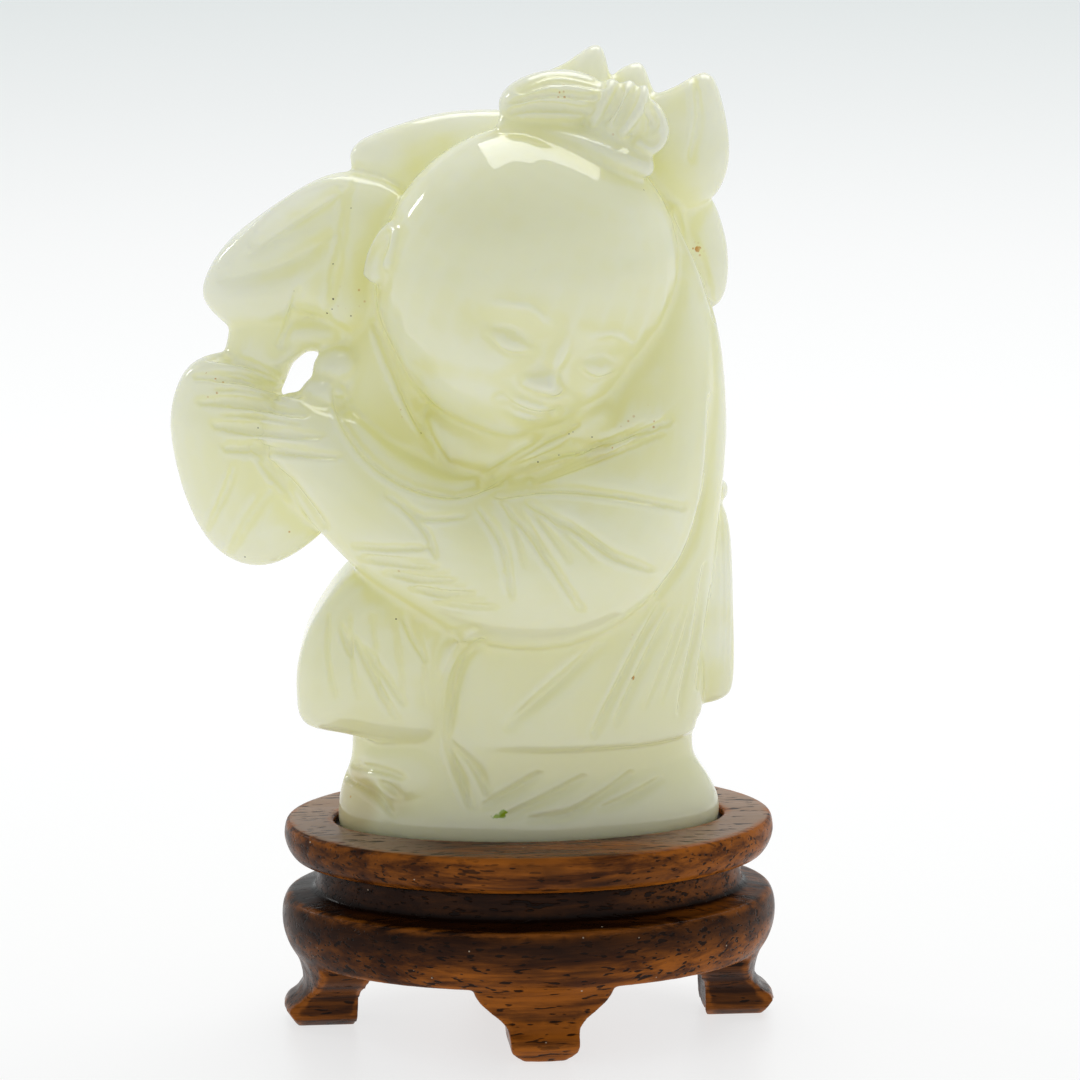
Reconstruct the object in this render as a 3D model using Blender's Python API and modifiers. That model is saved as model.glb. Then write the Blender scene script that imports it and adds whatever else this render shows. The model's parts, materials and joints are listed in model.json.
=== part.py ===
"""A small jade carving of a crouching boy with a lotus spray, seated in the pocket of an oval hardwood stand.

The jade is one carved piece and the stand is another, cut from one block. The row frame has +Z up and +X along
the stand's long axis, and the boy faces -Y. The figure's pose and carving are written in shares: a share is a
hundredth of the height of the stone it is cut from, x to the viewer's right, y away from the viewer and z up from
its underside.
"""

import math

import bmesh
import bpy
import numpy as np
from mathutils import Matrix, Vector

MM = 0.001

# The jade figure
STONE_HEIGHT = 55.5 * MM
FIGURE_TURN = math.radians(-5.5)
SHARE = STONE_HEIGHT / 100
GRAIN = 0.333 * MM
POLISH_PASSES = 4
FIGURE_FACES = 6900

# The figure's underside, the oval that seats in the stand's pocket
BASE_LENGTH = 27.0 * MM
BASE_DEPTH = 14.1 * MM

# The head, and in degrees how it is bowed, turned and tipped to one side
HEAD_WIDTH = 21.2 * MM
HEAD_DEPTH = 18.2 * MM
HEAD_LENGTH = 22.0 * MM
HEAD_RISE = 39.1 * MM
HEAD_BOW = 10
HEAD_YAW = 24
HEAD_TIP = 21

# The height the carving is seen from, in degrees above the level
CARVING_RISE = 12

# The hardwood stand
STAND_LENGTH = 35.0 * MM
STAND_DEPTH = 25.2 * MM
PLATE_THICK = 2.64 * MM
WAIST_HEIGHT = 2.66 * MM
BAND_HEIGHT = 4.3 * MM
FOOT_HEIGHT = 5.1 * MM
PLATE_INSET = 0.2 * MM
WAIST_INSET = 2.3 * MM
EDGE_INSET = 0.7 * MM
POCKET_DEPTH = 0.8 * MM
SEAT_GAP = 0.3 * MM
RIM_STEPS = 56

# The stand's feet, brackets that end in a toe turned outwards
FOOT_WIDTH = 9.9 * MM
ANKLE_WIDTH = 4.9 * MM
ANKLE_THICK = 3.5 * MM
TOE_REACH = 1.4 * MM
TOE_HEIGHT = 1.6 * MM
TOE_CHAMFER = 0.85 * MM

BAND_TOP = FOOT_HEIGHT + BAND_HEIGHT
WAIST_TOP = BAND_TOP + WAIST_HEIGHT
STAND_HEIGHT = WAIST_TOP + PLATE_THICK
FIGURE_FLOOR = STAND_HEIGHT - POCKET_DEPTH + SEAT_GAP

HEAD_MIDDLE = Vector((-0.4, -3.0, HEAD_RISE / SHARE))
HEAD_REACH = 0.62 * HEAD_LENGTH / SHARE
EAR_TURNS = [math.radians(k) for k in range(-60, 181, 40)]
HEAD = (
    Matrix.Translation(HEAD_MIDDLE)
    @ Matrix.Rotation(math.radians(HEAD_TIP), 4, "Y")
    @ Matrix.Rotation(math.radians(HEAD_YAW), 4, "Z")
    @ Matrix.Rotation(math.radians(HEAD_BOW), 4, "X")
)


def clear_scene():
    for thing in list(bpy.data.objects):
        bpy.data.objects.remove(thing)


def new_object(name, mesh, collection):
    thing = bpy.data.objects.new(name, mesh)
    collection.objects.link(thing)
    return thing


def flowing(points, steps, closed=False):
    """The points of a smooth line through the given points, each of any number of values."""
    knots = np.array(points, float)
    if closed:
        around = np.vstack([knots[-1:], knots, knots[:2]])
    else:
        around = np.vstack([2 * knots[0] - knots[1], knots, 2 * knots[-1] - knots[-2]])
    line = []
    for k in range(len(around) - 3):
        before, here, there, after = around[k : k + 4]
        for t in np.arange(steps) / steps:
            slope = there - before
            bend = 2 * before - 5 * here + 4 * there - after
            twist = 3 * here - before - 3 * there + after
            line.append(here + 0.5 * (slope * t + bend * t**2 + twist * t**3))
    if not closed:
        line.append(knots[-1])
    return np.array(line)


def skin(forms, rings):
    """Adds a closed form to the mesh: faces between each ring and the next, and a lid on each end."""
    loops = [[forms.verts.new(point) for point in ring] for ring in rings]
    for lower, upper in zip(loops, loops[1:]):
        for k, corner in enumerate(lower):
            forms.faces.new((corner, lower[k - 1], upper[k - 1], upper[k]))
    forms.faces.new(loops[0])
    forms.faces.new(reversed(loops[-1]))


def egg(forms, centre, radii, tilt=0.0, lean=0.0, taper=0.0, frame=None):
    """Adds a ball with three radii. tilt turns its top to the viewer's right, lean brings it to the viewer."""
    turn = Matrix.Rotation(math.radians(tilt), 4, "Y") @ Matrix.Rotation(math.radians(lean), 4, "X")
    place = (frame or Matrix()) @ Matrix.Translation(centre) @ turn
    made = bmesh.ops.create_uvsphere(forms, u_segments=32, v_segments=20, radius=1.0)
    for corner in made["verts"]:
        wide = 1 + taper * corner.co.z
        corner.co = place @ Vector(
            (corner.co.x * wide * radii[0], corner.co.y * wide * radii[1], corner.co.z * radii[2])
        )


def limb(forms, stations, sides=24, steps=4, round_ends=True, frame=None):
    """Adds a rounded length through stations of (x, y, z, radius across, radius in depth)."""
    line = flowing(stations, steps)
    if round_ends:
        line = with_domed_ends(line)
    ahead = np.gradient(line[:, :3], axis=0)
    rings = []
    for station, along in zip(line, ahead):
        across = Vector((along[2], 0.0, -along[0]))
        if across.length < 1e-6:
            across = Vector((1.0, 0.0, 0.0))
        across.normalize()
        deep = Vector(along).cross(across)
        deep.normalize()
        ring = []
        for k in range(sides):
            angle = 2 * math.pi * k / sides
            offset = across * (station[3] * math.cos(angle)) + deep * (station[4] * math.sin(angle))
            ring.append((frame or Matrix()) @ (Vector(station[:3]) + offset))
        rings.append(ring)
    skin(forms, rings)


def with_domed_ends(line, steps=4):
    """Adds stations past each end of the line that shrink as a dome does."""
    caps = []
    for end, inner in ((line[0], line[1]), (line[-1], line[-2])):
        out = end[:3] - inner[:3]
        out = out / np.linalg.norm(out) * min(end[3], end[4])
        cap = []
        for k in range(1, steps + 1):
            angle = math.radians(84) * k / steps
            cap.append(np.concatenate([end[:3] + out * math.sin(angle), end[3:] * math.cos(angle)]))
        caps.append(cap)
    return np.array(caps[0][::-1] + list(line) + caps[1])


def pad(forms, outline, depth, thick, lean=(0.0, 0.0), cup=0.0, rim=0.28):
    """Adds a leaf-like form with the given outline in x and z: domed on both sides, thinner at its edge.

    depth is the y of its middle, lean the slope of its plane along x and z, and cup bends its edge to the back.
    """
    edge = flowing(outline, 4, closed=True)
    if spin_of(edge) < 0:
        edge = edge[::-1]
    middle = edge.mean(axis=0)
    reach = np.linalg.norm(edge - middle, axis=1).max()

    def ring(size, side):
        bulge = thick * (rim + (1 - rim) * math.sqrt(max(0.0, 1 - size**2))) * side
        points = []
        for corner in middle + (edge - middle) * size:
            x, z = corner - middle
            bend = cup * (x * x + z * z) / reach
            points.append(Vector((corner[0], depth + lean[0] * x + lean[1] * z + bend + bulge, corner[1])))
        return points

    sizes = (0.12, 0.4, 0.66, 0.86, 0.97, 1.0)
    skin(forms, [ring(size, -1) for size in sizes] + [ring(size, 1) for size in reversed(sizes)])


def spin_of(edge):
    """Above zero where the outline runs anticlockwise as the viewer sees it."""
    after = np.roll(edge, -1, axis=0)
    return float((edge[:, 0] * after[:, 1] - after[:, 0] * edge[:, 1]).sum())


def head_forms(forms):
    """A round child's head with a soft jaw and flat ears. The face swells out of it later, see FACE_SWELLS."""
    radii = [size / 2 / SHARE for size in (HEAD_WIDTH, HEAD_DEPTH, HEAD_LENGTH)]
    egg(forms, (0, 0, 0), radii, taper=0.04, frame=HEAD)
    egg(forms, (0, -3.6, -8.6), (13.4, 11.4, 10.4), frame=HEAD)
    for side in (-1, 1):
        egg(forms, (18.3 * side, 1.6, -3.0), (1.2, 2.8, 4.0), tilt=-6 * side, frame=HEAD)
        rim = [(18.9 * side, 1.4 + 2.6 * math.cos(a), -3.0 + 3.9 * math.sin(a), 0.7, 0.7) for a in EAR_TURNS]
        limb(forms, rim, sides=12, frame=HEAD)


def hair_forms(forms):
    """A tuft of combed hair laid to one side, its tie of three bands, the curl past it and the hair below."""
    egg(forms, (3.0, -3.7, 92.8), (6.9, 5.4, 3.9), tilt=-6)
    for tie in (
        [(9.9, -4.2, 94.6, 1.0, 3.0), (9.0, -5.0, 93.0, 1.1, 3.8), (7.9, -5.2, 90.6, 1.0, 3.6)],
        [(12.0, -4.0, 94.2, 1.0, 3.0), (11.2, -5.0, 92.6, 1.1, 3.9), (9.9, -5.4, 90.0, 1.0, 3.7)],
        [(13.7, -4.2, 93.2, 0.9, 3.4), (13.1, -5.4, 91.8, 1.1, 4.2), (11.2, -6.0, 89.2, 0.9, 4.0)],
    ):
        limb(forms, tie, sides=16)
    egg(forms, (14.5, -4.2, 90.0), (2.7, 3.7, 3.4), tilt=-15)
    egg(forms, (10.6, -5.2, 88.0), (4.6, 3.6, 2.0), tilt=24)
    curl = [(15.0, -5.4, 92.4), (16.4, -5.6, 90.4), (16.4, -5.9, 88.4), (15.0, -6.6, 87.3), (13.3, -7.0, 88.3)]
    limb(forms, [(*place, 0.8, 1.7) for place in curl], sides=16)
    limb(
        forms,
        [
            (-2.4, -4.2, 90.2, 1.3, 3.0), (3.6, -6.4, 88.9, 1.7, 3.6), (9.4, -7.0, 86.9, 2.0, 3.8),
            (14.0, -6.0, 85.2, 1.5, 3.2),
        ],
        sides=20,
    )


def spray_forms(forms):
    """The lotus spray over the boy's shoulder: leaves on the viewer's left, petals on the right."""
    pad(
        forms,
        [
            (-22.2, 85.6), (-16.2, 88.6), (-8.6, 90.3), (0, 89.8), (9, 85), (12, 75), (7, 64), (-4, 59),
            (-14, 61), (-20.0, 70), (-21.4, 80.6),
        ],
        depth=5.5,
        thick=4.6,
    )
    pad(
        forms,
        [
            (-21.4, 82.8), (-26.4, 82.0), (-33.4, 77.6), (-38.5, 73.2), (-41.0, 68.2), (-39.2, 65.0),
            (-36.0, 63.2), (-32.4, 64.0), (-29.0, 65.8), (-25.0, 64.6), (-20.0, 61.6), (-14.0, 62.0),
            (-13.0, 70.0), (-15.0, 80.0),
        ],
        depth=1.8,
        thick=5.8,
        lean=(-0.12, 0.1),
    )
    pad(
        forms,
        [
            (-36.8, 60.3), (-41.0, 60.0), (-43.8, 57.2), (-45.0, 51.5), (-43.4, 43.2), (-40.2, 36.9),
            (-35.8, 34.1), (-30.8, 34.8), (-25.0, 39.4), (-21.0, 46.0), (-22.4, 51.0), (-26.4, 53.6),
            (-31.0, 55.6),
        ],
        depth=-2.0,
        thick=5.2,
        lean=(-0.16, 0.0),
    )
    pad(
        forms,
        [(-3, 87), (-0.6, 93.6), (4.5, 96.4), (8.6, 98.9), (10.0, 95.4), (11, 89), (7, 83), (0, 83)],
        depth=4.6,
        thick=3.4,
    )
    pad(
        forms,
        [(9.4, 91), (10.4, 94.6), (13.9, 96.4), (15.4, 93.2), (17.2, 89), (15, 84), (9, 84)],
        depth=6.2,
        thick=3.0,
    )
    pad(
        forms,
        [
            (14, 91.0), (18.4, 93.6), (22.3, 95.4), (24.2, 91.6), (25.1, 85.5), (24.1, 81.2), (21.8, 79.0),
            (15, 77), (11, 83),
        ],
        depth=4.0,
        thick=3.8,
    )
    pad(
        forms,
        [(22.0, 80.0), (24.4, 75.6), (25.1, 70.4), (24.2, 66.4), (21.6, 65.4), (15, 67), (12, 74), (15, 81)],
        depth=5.4,
        thick=3.4,
    )


def arm_forms(forms):
    """The arm on the viewer's right comes down from the shoulder and crosses the belly in a wide sleeve."""
    limb(
        forms,
        [
            (14.0, 2.0, 76.0, 5.6, 5.0), (15.0, 0.6, 66.0, 7.6, 7.6), (14.6, -1.6, 56.0, 8.6, 9.0),
            (12.6, -4.4, 47.6, 9.8, 9.6), (8.4, -7.2, 40.0, 11.2, 10.0), (2.0, -8.8, 36.0, 11.6, 9.4),
            (-5.0, -9.0, 36.3, 10.8, 8.8), (-12.0, -8.6, 38.8, 9.4, 8.2), (-18.2, -7.8, 42.8, 8.2, 7.4),
            (-24.4, -6.8, 48.0, 7.0, 6.2), (-29.6, -5.6, 51.6, 5.2, 4.6),
        ],
        sides=32,
    )
    limb(
        forms,
        [
            (-14.0, 1.0, 66.0, 8.0, 7.0), (-17.6, -0.6, 58.0, 6.8, 6.8), (-17.0, -2.4, 50.0, 6.6, 7.2),
            (-11.0, -3.4, 45.0, 6.0, 6.6),
        ],
        sides=28,
    )
    limb(forms, [(-30.6, 2.2, 69.4, 6.0, 3.8), (-32.8, 1.8, 63.4, 4.8, 4.0), (-34.6, 0.8, 57.6, 4.1, 4.0)])
    limb(forms, [(-31.2, 1.4, 62.8, 2.0, 3.2), (-24.0, 0.6, 63.2, 2.6, 4.2)])
    limb(forms, [(-32.2, 0.8, 59.2, 1.7, 3.4), (-29.0, 1.2, 61.8, 1.7, 3.4)], sides=16)
    egg(forms, (-23.6, -2.8, 59.4), (3.6, 4.0, 2.7), tilt=-20)
    egg(forms, (-25.4, -4.8, 56.6), (3.0, 3.2, 2.0))
    egg(forms, (-20.4, -1.4, 58.0), (4.2, 4.4, 6.0))


def body_forms(forms):
    """The body in its long robe, the folded cloth under the chin and the bent knee on the viewer's left."""
    limb(
        forms,
        [
            (4.0, 0.8, 14.0, 18.0, 12.0), (4.0, 0.8, 26.0, 18.8, 12.0), (4.8, 0.8, 40.0, 19.2, 11.6),
            (5.0, 1.0, 50.0, 19.9, 10.8), (4.9, 1.4, 60.0, 19.4, 9.8), (4.6, 1.8, 67.0, 17.8, 8.6),
            (4.0, 2.4, 75.0, 14.6, 6.6),
        ],
        sides=40,
        round_ends=False,
    )
    egg(forms, (-2.0, -3.4, 50.4), (14.6, 8.0, 7.4))
    egg(forms, (8.5, -4.4, 53.2), (9.0, 6.8, 6.0), tilt=-25)
    egg(forms, (-7.4, -4.4, 18.0), (4.6, 7.4, 11.0))
    egg(forms, (-12.6, -3.2, 8.4), (9.2, 8.4, 8.8))
    limb(
        forms,
        [
            (-0.2, 0.0, 12.6, 21.4, 13.1), (0.0, 0.0, 20.0, 21.8, 12.9), (0.6, 0.2, 28.0, 21.4, 12.6),
            (1.6, 0.4, 36.0, 20.6, 12.0),
        ],
        sides=48,
        round_ends=False,
    )
    pad(
        forms,
        [
            (-21.8, 34.4), (-26.6, 28.6), (-28.8, 23.4), (-29.2, 18.6), (-28.2, 14.6), (-22.6, 13.2),
            (-16.3, 11.6), (-9.6, 11.4), (-8.4, 18.0), (-5.6, 25.0), (-8.0, 32.0), (-15.0, 35.6),
        ],
        depth=-2.6,
        thick=11.2,
        rim=0.42,
    )


def leg_forms(forms):
    """The shins and feet under the robe's hem, that widen to the oval underside."""
    levels = [
        (0.0, 0.0, 1.0, 1.0), (0.0, 2.6, 1.0, 1.005), (-0.4, 5.4, 0.965, 0.965), (-0.8, 8.6, 0.9, 0.925),
        (-0.8, 11.6, 0.89, 0.96), (-0.6, 16.0, 0.89, 0.97),
    ]
    turn = Matrix.Rotation(-FIGURE_TURN, 4, "Z")
    rings = []
    for shift, height, length, depth in flowing(levels, 3):
        ring = []
        for k in range(48):
            angle = 2 * math.pi * k / 48
            x = shift + BASE_LENGTH / SHARE / 2 * length * math.cos(angle)
            y = BASE_DEPTH / SHARE / 2 * depth * math.sin(angle)
            ring.append(turn @ Vector((x, y, height)))
        rings.append(ring)
    skin(forms, rings)


def sash_forms(forms):
    """The sash round the back of the waist, its knot and its two hanging ends."""
    belt = []
    for degrees in range(20, 161, 20):
        angle = math.radians(degrees)
        belt.append((4.8 + 18.4 * math.cos(angle), 0.8 + 11.0 * math.sin(angle), 41.8, 2.0, 1.4))
    limb(forms, belt, sides=16)
    egg(forms, (23.2, 5.4, 42.0), (2.2, 2.6, 1.7))
    pad(
        forms,
        [
            (21.0, 41.5), (24.3, 40.4), (25.5, 36.6), (25.9, 28.0), (26.0, 18.0), (24.8, 15.4), (21.2, 15.0),
            (18.5, 20), (18, 32),
        ],
        depth=4.6,
        thick=3.8,
        rim=0.5,
    )


def rough_figure():
    """All the figure's forms in one mesh, each closed and overlapping its neighbours."""
    forms = bmesh.new()
    for add in (head_forms, hair_forms, spray_forms, arm_forms, body_forms, leg_forms, sash_forms):
        add(forms)
    bmesh.ops.recalc_face_normals(forms, faces=forms.faces)
    mesh = bpy.data.meshes.new("figure")
    forms.to_mesh(mesh)
    forms.free()
    return mesh


# Carving. A cut is its half width, its depth (below zero stands proud) and the line it follows, in shares to
# the right and up as seen from the side it is carved from.
LEAF_CUTS = [
    (2.5, 1.3, [(-24.2, 78.8), (-27.2, 77.3), (-30.2, 75.4), (-33.8, 72.6)]),
    (0.9, -0.35, [(-23.0, 80.9), (-26.4, 80.1), (-29.9, 77.9), (-33.4, 75.5), (-36.6, 73.0)]),
    (4.0, 0.7, [(-37.0, 68.4), (-31.4, 70.0), (-26.0, 72.6)]),
    (1.2, 0.3, [(-22.0, 80.4), (-22.9, 77.4), (-23.4, 73.1), (-24.4, 68.2), (-25.1, 64.0)]),
    (1.0, 0.5, [(-28.8, 67.0), (-29.8, 63.5), (-31.2, 60.0)]),
    (0.9, 0.4, [(-36.9, 44.8), (-38.1, 41.8), (-40.3, 37.3)]),
    (1.6, 0.4, [(-32.1, 42.3), (-34.9, 38.5), (-37.9, 33.6)]),
    (1.5, 0.9, [(-34.0, 47.2), (-31.9, 44.2), (-29.5, 42.0), (-25.6, 37.6)]),
]
PLEATS = [
    (1.1, 0.75, [(-40.1, 58.5), (-36.8, 58.2), (-34.0, 57.4), (-30.4, 55.5)]),
    (1.1, 0.75, [(-41.6, 56.1), (-37.6, 55.9), (-33.9, 55.2), (-28.7, 53.7)]),
    (1.1, 0.75, [(-40.8, 52.9), (-37.3, 52.9), (-33.6, 52.5), (-27.9, 51.2)]),
    (1.1, 0.75, [(-39.1, 50.0), (-36.3, 49.6), (-32.1, 49.1), (-26.0, 48.6)]),
    (1.1, 0.75, [(-37.9, 47.2), (-34.6, 47.0), (-29.7, 46.6), (-23.8, 46.0)]),
]
SLEEVE_CUTS = [
    (1.5, 0.8, [(-24.3, 54.3), (-22.7, 50.0), (-19.4, 45.7), (-14.7, 42.7), (-9.1, 41.5), (-3.6, 42.9)]),
    (1.4, 0.8, [(-19.1, 62.6), (-16.9, 57.4), (-14.2, 51.6), (-10.9, 45.9)]),
    (1.3, 0.7, [(-5.5, 43.2), (0.8, 47.4), (5.6, 50.4)]),
    (1.2, 0.7, [(-8.0, 41.6), (0.2, 45.4), (10.6, 48.6), (17.2, 50.2)]),
    (1.2, 0.7, [(-3.9, 41.2), (2.0, 42.1), (8.8, 41.6), (19.1, 39.7)]),
    (1.2, 0.8, [(0.2, 40.2), (6.4, 36.6), (10.3, 33.9), (15.0, 32.1)]),
    (1.1, 0.7, [(-3.2, 40.5), (1.4, 34.8), (6.3, 27.3)]),
    (1.1, 0.6, [(-6.1, 39.7), (-3.3, 35.2), (-2.2, 29.1)]),
    (1.0, 0.6, [(-17.4, 41.2), (-14.4, 39.3), (-12.2, 38.5), (-8.0, 38.7)]),
    (1.0, 0.6, [(-15.4, 39.6), (-12.8, 37.0), (-11.6, 33.8)]),
    (0.8, 0.5, [(-21.6, 34.9), (-16.9, 34.6), (-12.2, 34.8)]),
    (0.8, 0.5, [(-20.9, 33.3), (-16.4, 32.8), (-12.0, 32.2)]),
    (0.8, 0.5, [(-17.8, 31.6), (-14.0, 30.9), (-9.6, 30.6)]),
    (0.8, 0.5, [(-14.6, 29.7), (-11.0, 29.0), (-7.0, 28.8)]),
    (0.8, 0.4, [(-11.6, 28.2), (-8.0, 27.6), (-4.2, 27.4)]),
    (1.2, 0.7, [(22.7, 53.6), (22.6, 47.4), (21.8, 40.5), (19.8, 34.2), (16.1, 29.0)]),
]
ROBE_CUTS = [
    (1.3, 0.8, [(-6.0, 23.2), (-8.4, 20.6), (-9.6, 16.6), (-10.3, 11.0)]),
    (1.7, -0.6, [(-7.0, 24.2), (-9.6, 22.6), (-10.9, 19.4)]),
    (1.0, 0.6, [(-23.3, 24.8), (-22.3, 21.6)]),
    (1.0, 0.7, [(-21.6, 23.3), (-19.3, 18.6), (-16.8, 13.7)]),
    (1.0, 0.6, [(-20.3, 22.3), (-18.0, 18.8), (-15.7, 15.3)]),
    (1.0, 0.5, [(-15.5, 26.1), (-14.3, 23.3), (-12.9, 20.8)]),
    (1.7, 0.7, [(8.6, 22.6), (3.6, 18.0), (-2.2, 13.1)]),
    (1.2, 0.7, [(16.3, 27.5), (12.3, 19.8), (8.1, 11.7)]),
    (1.1, 0.6, [(17.6, 26.8), (14.3, 20.2), (10.9, 13.3)]),
    (1.1, 0.6, [(22.1, 32.5), (20.9, 23.3), (18.9, 14.0)]),
    (0.9, 0.5, [(23.0, 28.2), (22.4, 23.2), (21.4, 17.1)]),
]
FOOT_CUTS = [
    (1.2, 0.9, [(-10.3, 10.3), (-9.1, 7.0), (-7.4, 2.5)]),
    (1.1, 0.7, [(-9.6, 10.3), (-6.4, 6.4), (-4.9, 3.3)]),
    (1.2, 0.8, [(1.1, 6.4), (-2.1, 4.4), (-5.6, 2.6)]),
    (1.2, 0.8, [(6.8, 6.0), (1.9, 3.3), (-3.2, 1.0)]),
    (1.2, 0.8, [(12.8, 6.4), (8.9, 3.6), (4.9, 1.5), (-0.1, 0.9)]),
    (1.1, 0.7, [(16.4, 5.6), (12.9, 3.6), (8.9, 2.1)]),
    (1.0, 0.7, [(-22.1, 7.3), (-19.1, 6.8), (-15.8, 5.9)]),
    (1.0, 0.6, [(-18.6, 5.2), (-16.4, 3.8)]),
    (1.0, 0.8, [(-23.8, 6.2), (-19.7, 3.9), (-17.3, 1.4)]),
]
HAIR_CUTS = [
    (0.9, 0.55, [(-2.4, 88.6), (1.6, 88.9), (7.6, 88.4)]),
    (0.9, 0.55, [(-2.6, 89.6), (2.0, 90.6), (8.4, 90.0)]),
    (0.8, 0.5, [(-1.2, 91.0), (3.4, 92.2), (9.2, 91.4)]),
    (0.8, 0.5, [(14.4, 88.6), (15.3, 87.0), (14.6, 85.8)]),
    (1.2, 0.6, [(20.6, 93.1), (21.0, 88.2), (20.1, 83.3)]),
    (1.2, 0.7, [(18.3, 76.4), (21.3, 70.7), (22.9, 66.0), (23.5, 63.3)]),
]
FACE_CUTS = [
    (0.7, 0.45, [(-9.3, -3.3), (-6.4, -4.2), (-3.5, -3.5)]),
    (0.7, 0.45, [(9.3, -3.3), (6.4, -4.2), (3.5, -3.5)]),
    (0.6, 0.25, [(-9.0, -2.0), (-6.4, -1.3), (-3.8, -2.3)]),
    (0.6, 0.25, [(9.0, -2.0), (6.4, -1.3), (3.8, -2.3)]),
    (1.0, -0.35, [(-9.8, 0.9), (-6.4, 2.1), (-2.8, 1.2)]),
    (1.0, -0.35, [(9.8, 0.9), (6.4, 2.1), (2.8, 1.2)]),
    (0.7, 0.55, [(-3.4, -10.3), (0, -10.8), (3.4, -10.3)]),
]

# The face's soft forms at the usual places of a child's face, as (across, up, half width, half height, rise) in
# the head's own directions. Each that lies off the middle has its twin on the other side.
FACE_SWELLS = [
    (8.4, -7.6, 5.4, 4.8, 1.5),
    (6.4, -2.0, 3.6, 2.2, -0.9),
    (6.4, -3.0, 2.5, 1.3, 1.0),
    (0.0, -3.0, 1.4, 3.0, 0.9),
    (0.0, -6.4, 1.8, 1.5, 2.3),
    (1.8, -6.9, 1.1, 0.9, 1.0),
    (0.0, -10.2, 3.6, 2.4, 0.9),
    (1.0, -9.8, 1.2, 0.6, 0.5),
    (0.0, -11.5, 1.7, 0.7, 0.6),
    (3.9, -10.3, 0.8, 0.8, -0.4),
    (0.0, -15.0, 3.6, 2.2, 1.2),
]
BACK_CUTS = [
    (1.3, 0.8, [(-9.0, 38.0), (-5.0, 28.0), (-3.0, 15.0)]),
    (1.3, 0.8, [(0.0, 38.0), (2.0, 27.0), (3.0, 14.0)]),
    (1.3, 0.8, [(9.0, 38.0), (9.0, 28.0), (10.0, 15.0)]),
    (1.3, 0.7, [(14.0, 36.0), (17.0, 27.0), (18.0, 16.0)]),
    (1.2, 0.7, [(-6.0, 60.0), (-2.0, 52.0), (0.0, 45.0)]),
    (1.2, 0.7, [(8.0, 60.0), (5.0, 52.0), (4.0, 45.0)]),
    (1.1, 0.6, [(-23.5, 24.0), (-22.0, 32.0), (-21.8, 39.0)]),
    (1.2, 0.7, [(24.0, 70.0), (30.0, 71.0), (38.0, 69.0)]),
    (1.2, 0.7, [(26.0, 74.0), (31.0, 77.0)]),
    (1.2, 0.7, [(28.0, 50.0), (34.0, 49.0), (41.0, 51.0)]),
    (1.2, 0.7, [(29.0, 46.0), (34.0, 42.0), (38.0, 39.0)]),
]


def seen_from(turn=0.0, rise=0.0):
    """The right, up and outward directions of a carver turned round the figure and raised by degrees."""
    view = Matrix.Rotation(math.radians(turn), 3, "Z") @ Matrix.Rotation(math.radians(-rise), 3, "X")
    return view @ Vector((1, 0, 0)), view @ Vector((0, 0, 1)), view @ Vector((0, -1, 0))


def carve(points, normals, cuts, view, origin=(0.0, 0.0, 0.0), reach=math.inf):
    """Moves the points that face the carver in along their normals, deepest on each cut's line."""
    right, up, outward = (np.array(axis) for axis in view)
    from_origin = points - np.array(origin)
    seen = np.stack([from_origin @ right, from_origin @ up], axis=1)
    open_to_view = (normals @ outward > 0.12) & (np.linalg.norm(from_origin, axis=1) < reach)
    push = np.zeros(len(points))
    for half_width, depth, line in cuts:
        path = flowing(line, 5)
        near = open_to_view.copy()
        for axis in (0, 1):
            near &= seen[:, axis] > path[:, axis].min() - half_width
            near &= seen[:, axis] < path[:, axis].max() + half_width
        chosen = np.flatnonzero(near)
        apart = np.full(len(chosen), np.inf)
        share = np.zeros(len(chosen))
        for k, (start, end) in enumerate(zip(path, path[1:])):
            span = end - start
            t = np.clip((seen[chosen] - start) @ span / (span @ span), 0, 1)
            distance = np.linalg.norm(seen[chosen] - start - t[:, None] * span, axis=1)
            closer = distance < apart
            apart[closer] = distance[closer]
            share[closer] = (k + t[closer]) / (len(path) - 1)
        fade = np.sqrt(np.clip(np.sin(np.pi * (0.06 + 0.88 * share)), 0, 1))
        across = np.clip(1 - apart / half_width, 0, 1)
        push[chosen] += depth * fade * across**1.5 * (0.5 + 0.5 * across)
    return points - normals * push[:, None]


def swell(points, normals, swells, view, origin, reach):
    """Moves the points within reach of the origin out towards the viewer, where each of the swells rises."""
    right, up, outward = (np.array(axis) for axis in view)
    from_origin = points - np.array(origin)
    across, height = from_origin @ right, from_origin @ up
    rise = np.zeros(len(points))
    for x, z, half_width, half_height, much in swells:
        for place in {x, -x}:
            rise += much * np.exp(-(((across - place) / half_width) ** 2) - ((height - z) / half_height) ** 2)
    rise *= np.clip((normals @ outward - 0.1) / 0.3, 0, 1)
    rise[np.linalg.norm(from_origin, axis=1) > reach] = 0
    return points + rise[:, None] * outward


def baked(thing):
    """The mesh of an object with its modifiers applied."""
    bpy.context.view_layer.update()
    graph = bpy.context.evaluated_depsgraph_get()
    return bpy.data.meshes.new_from_object(thing.evaluated_get(graph))


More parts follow.
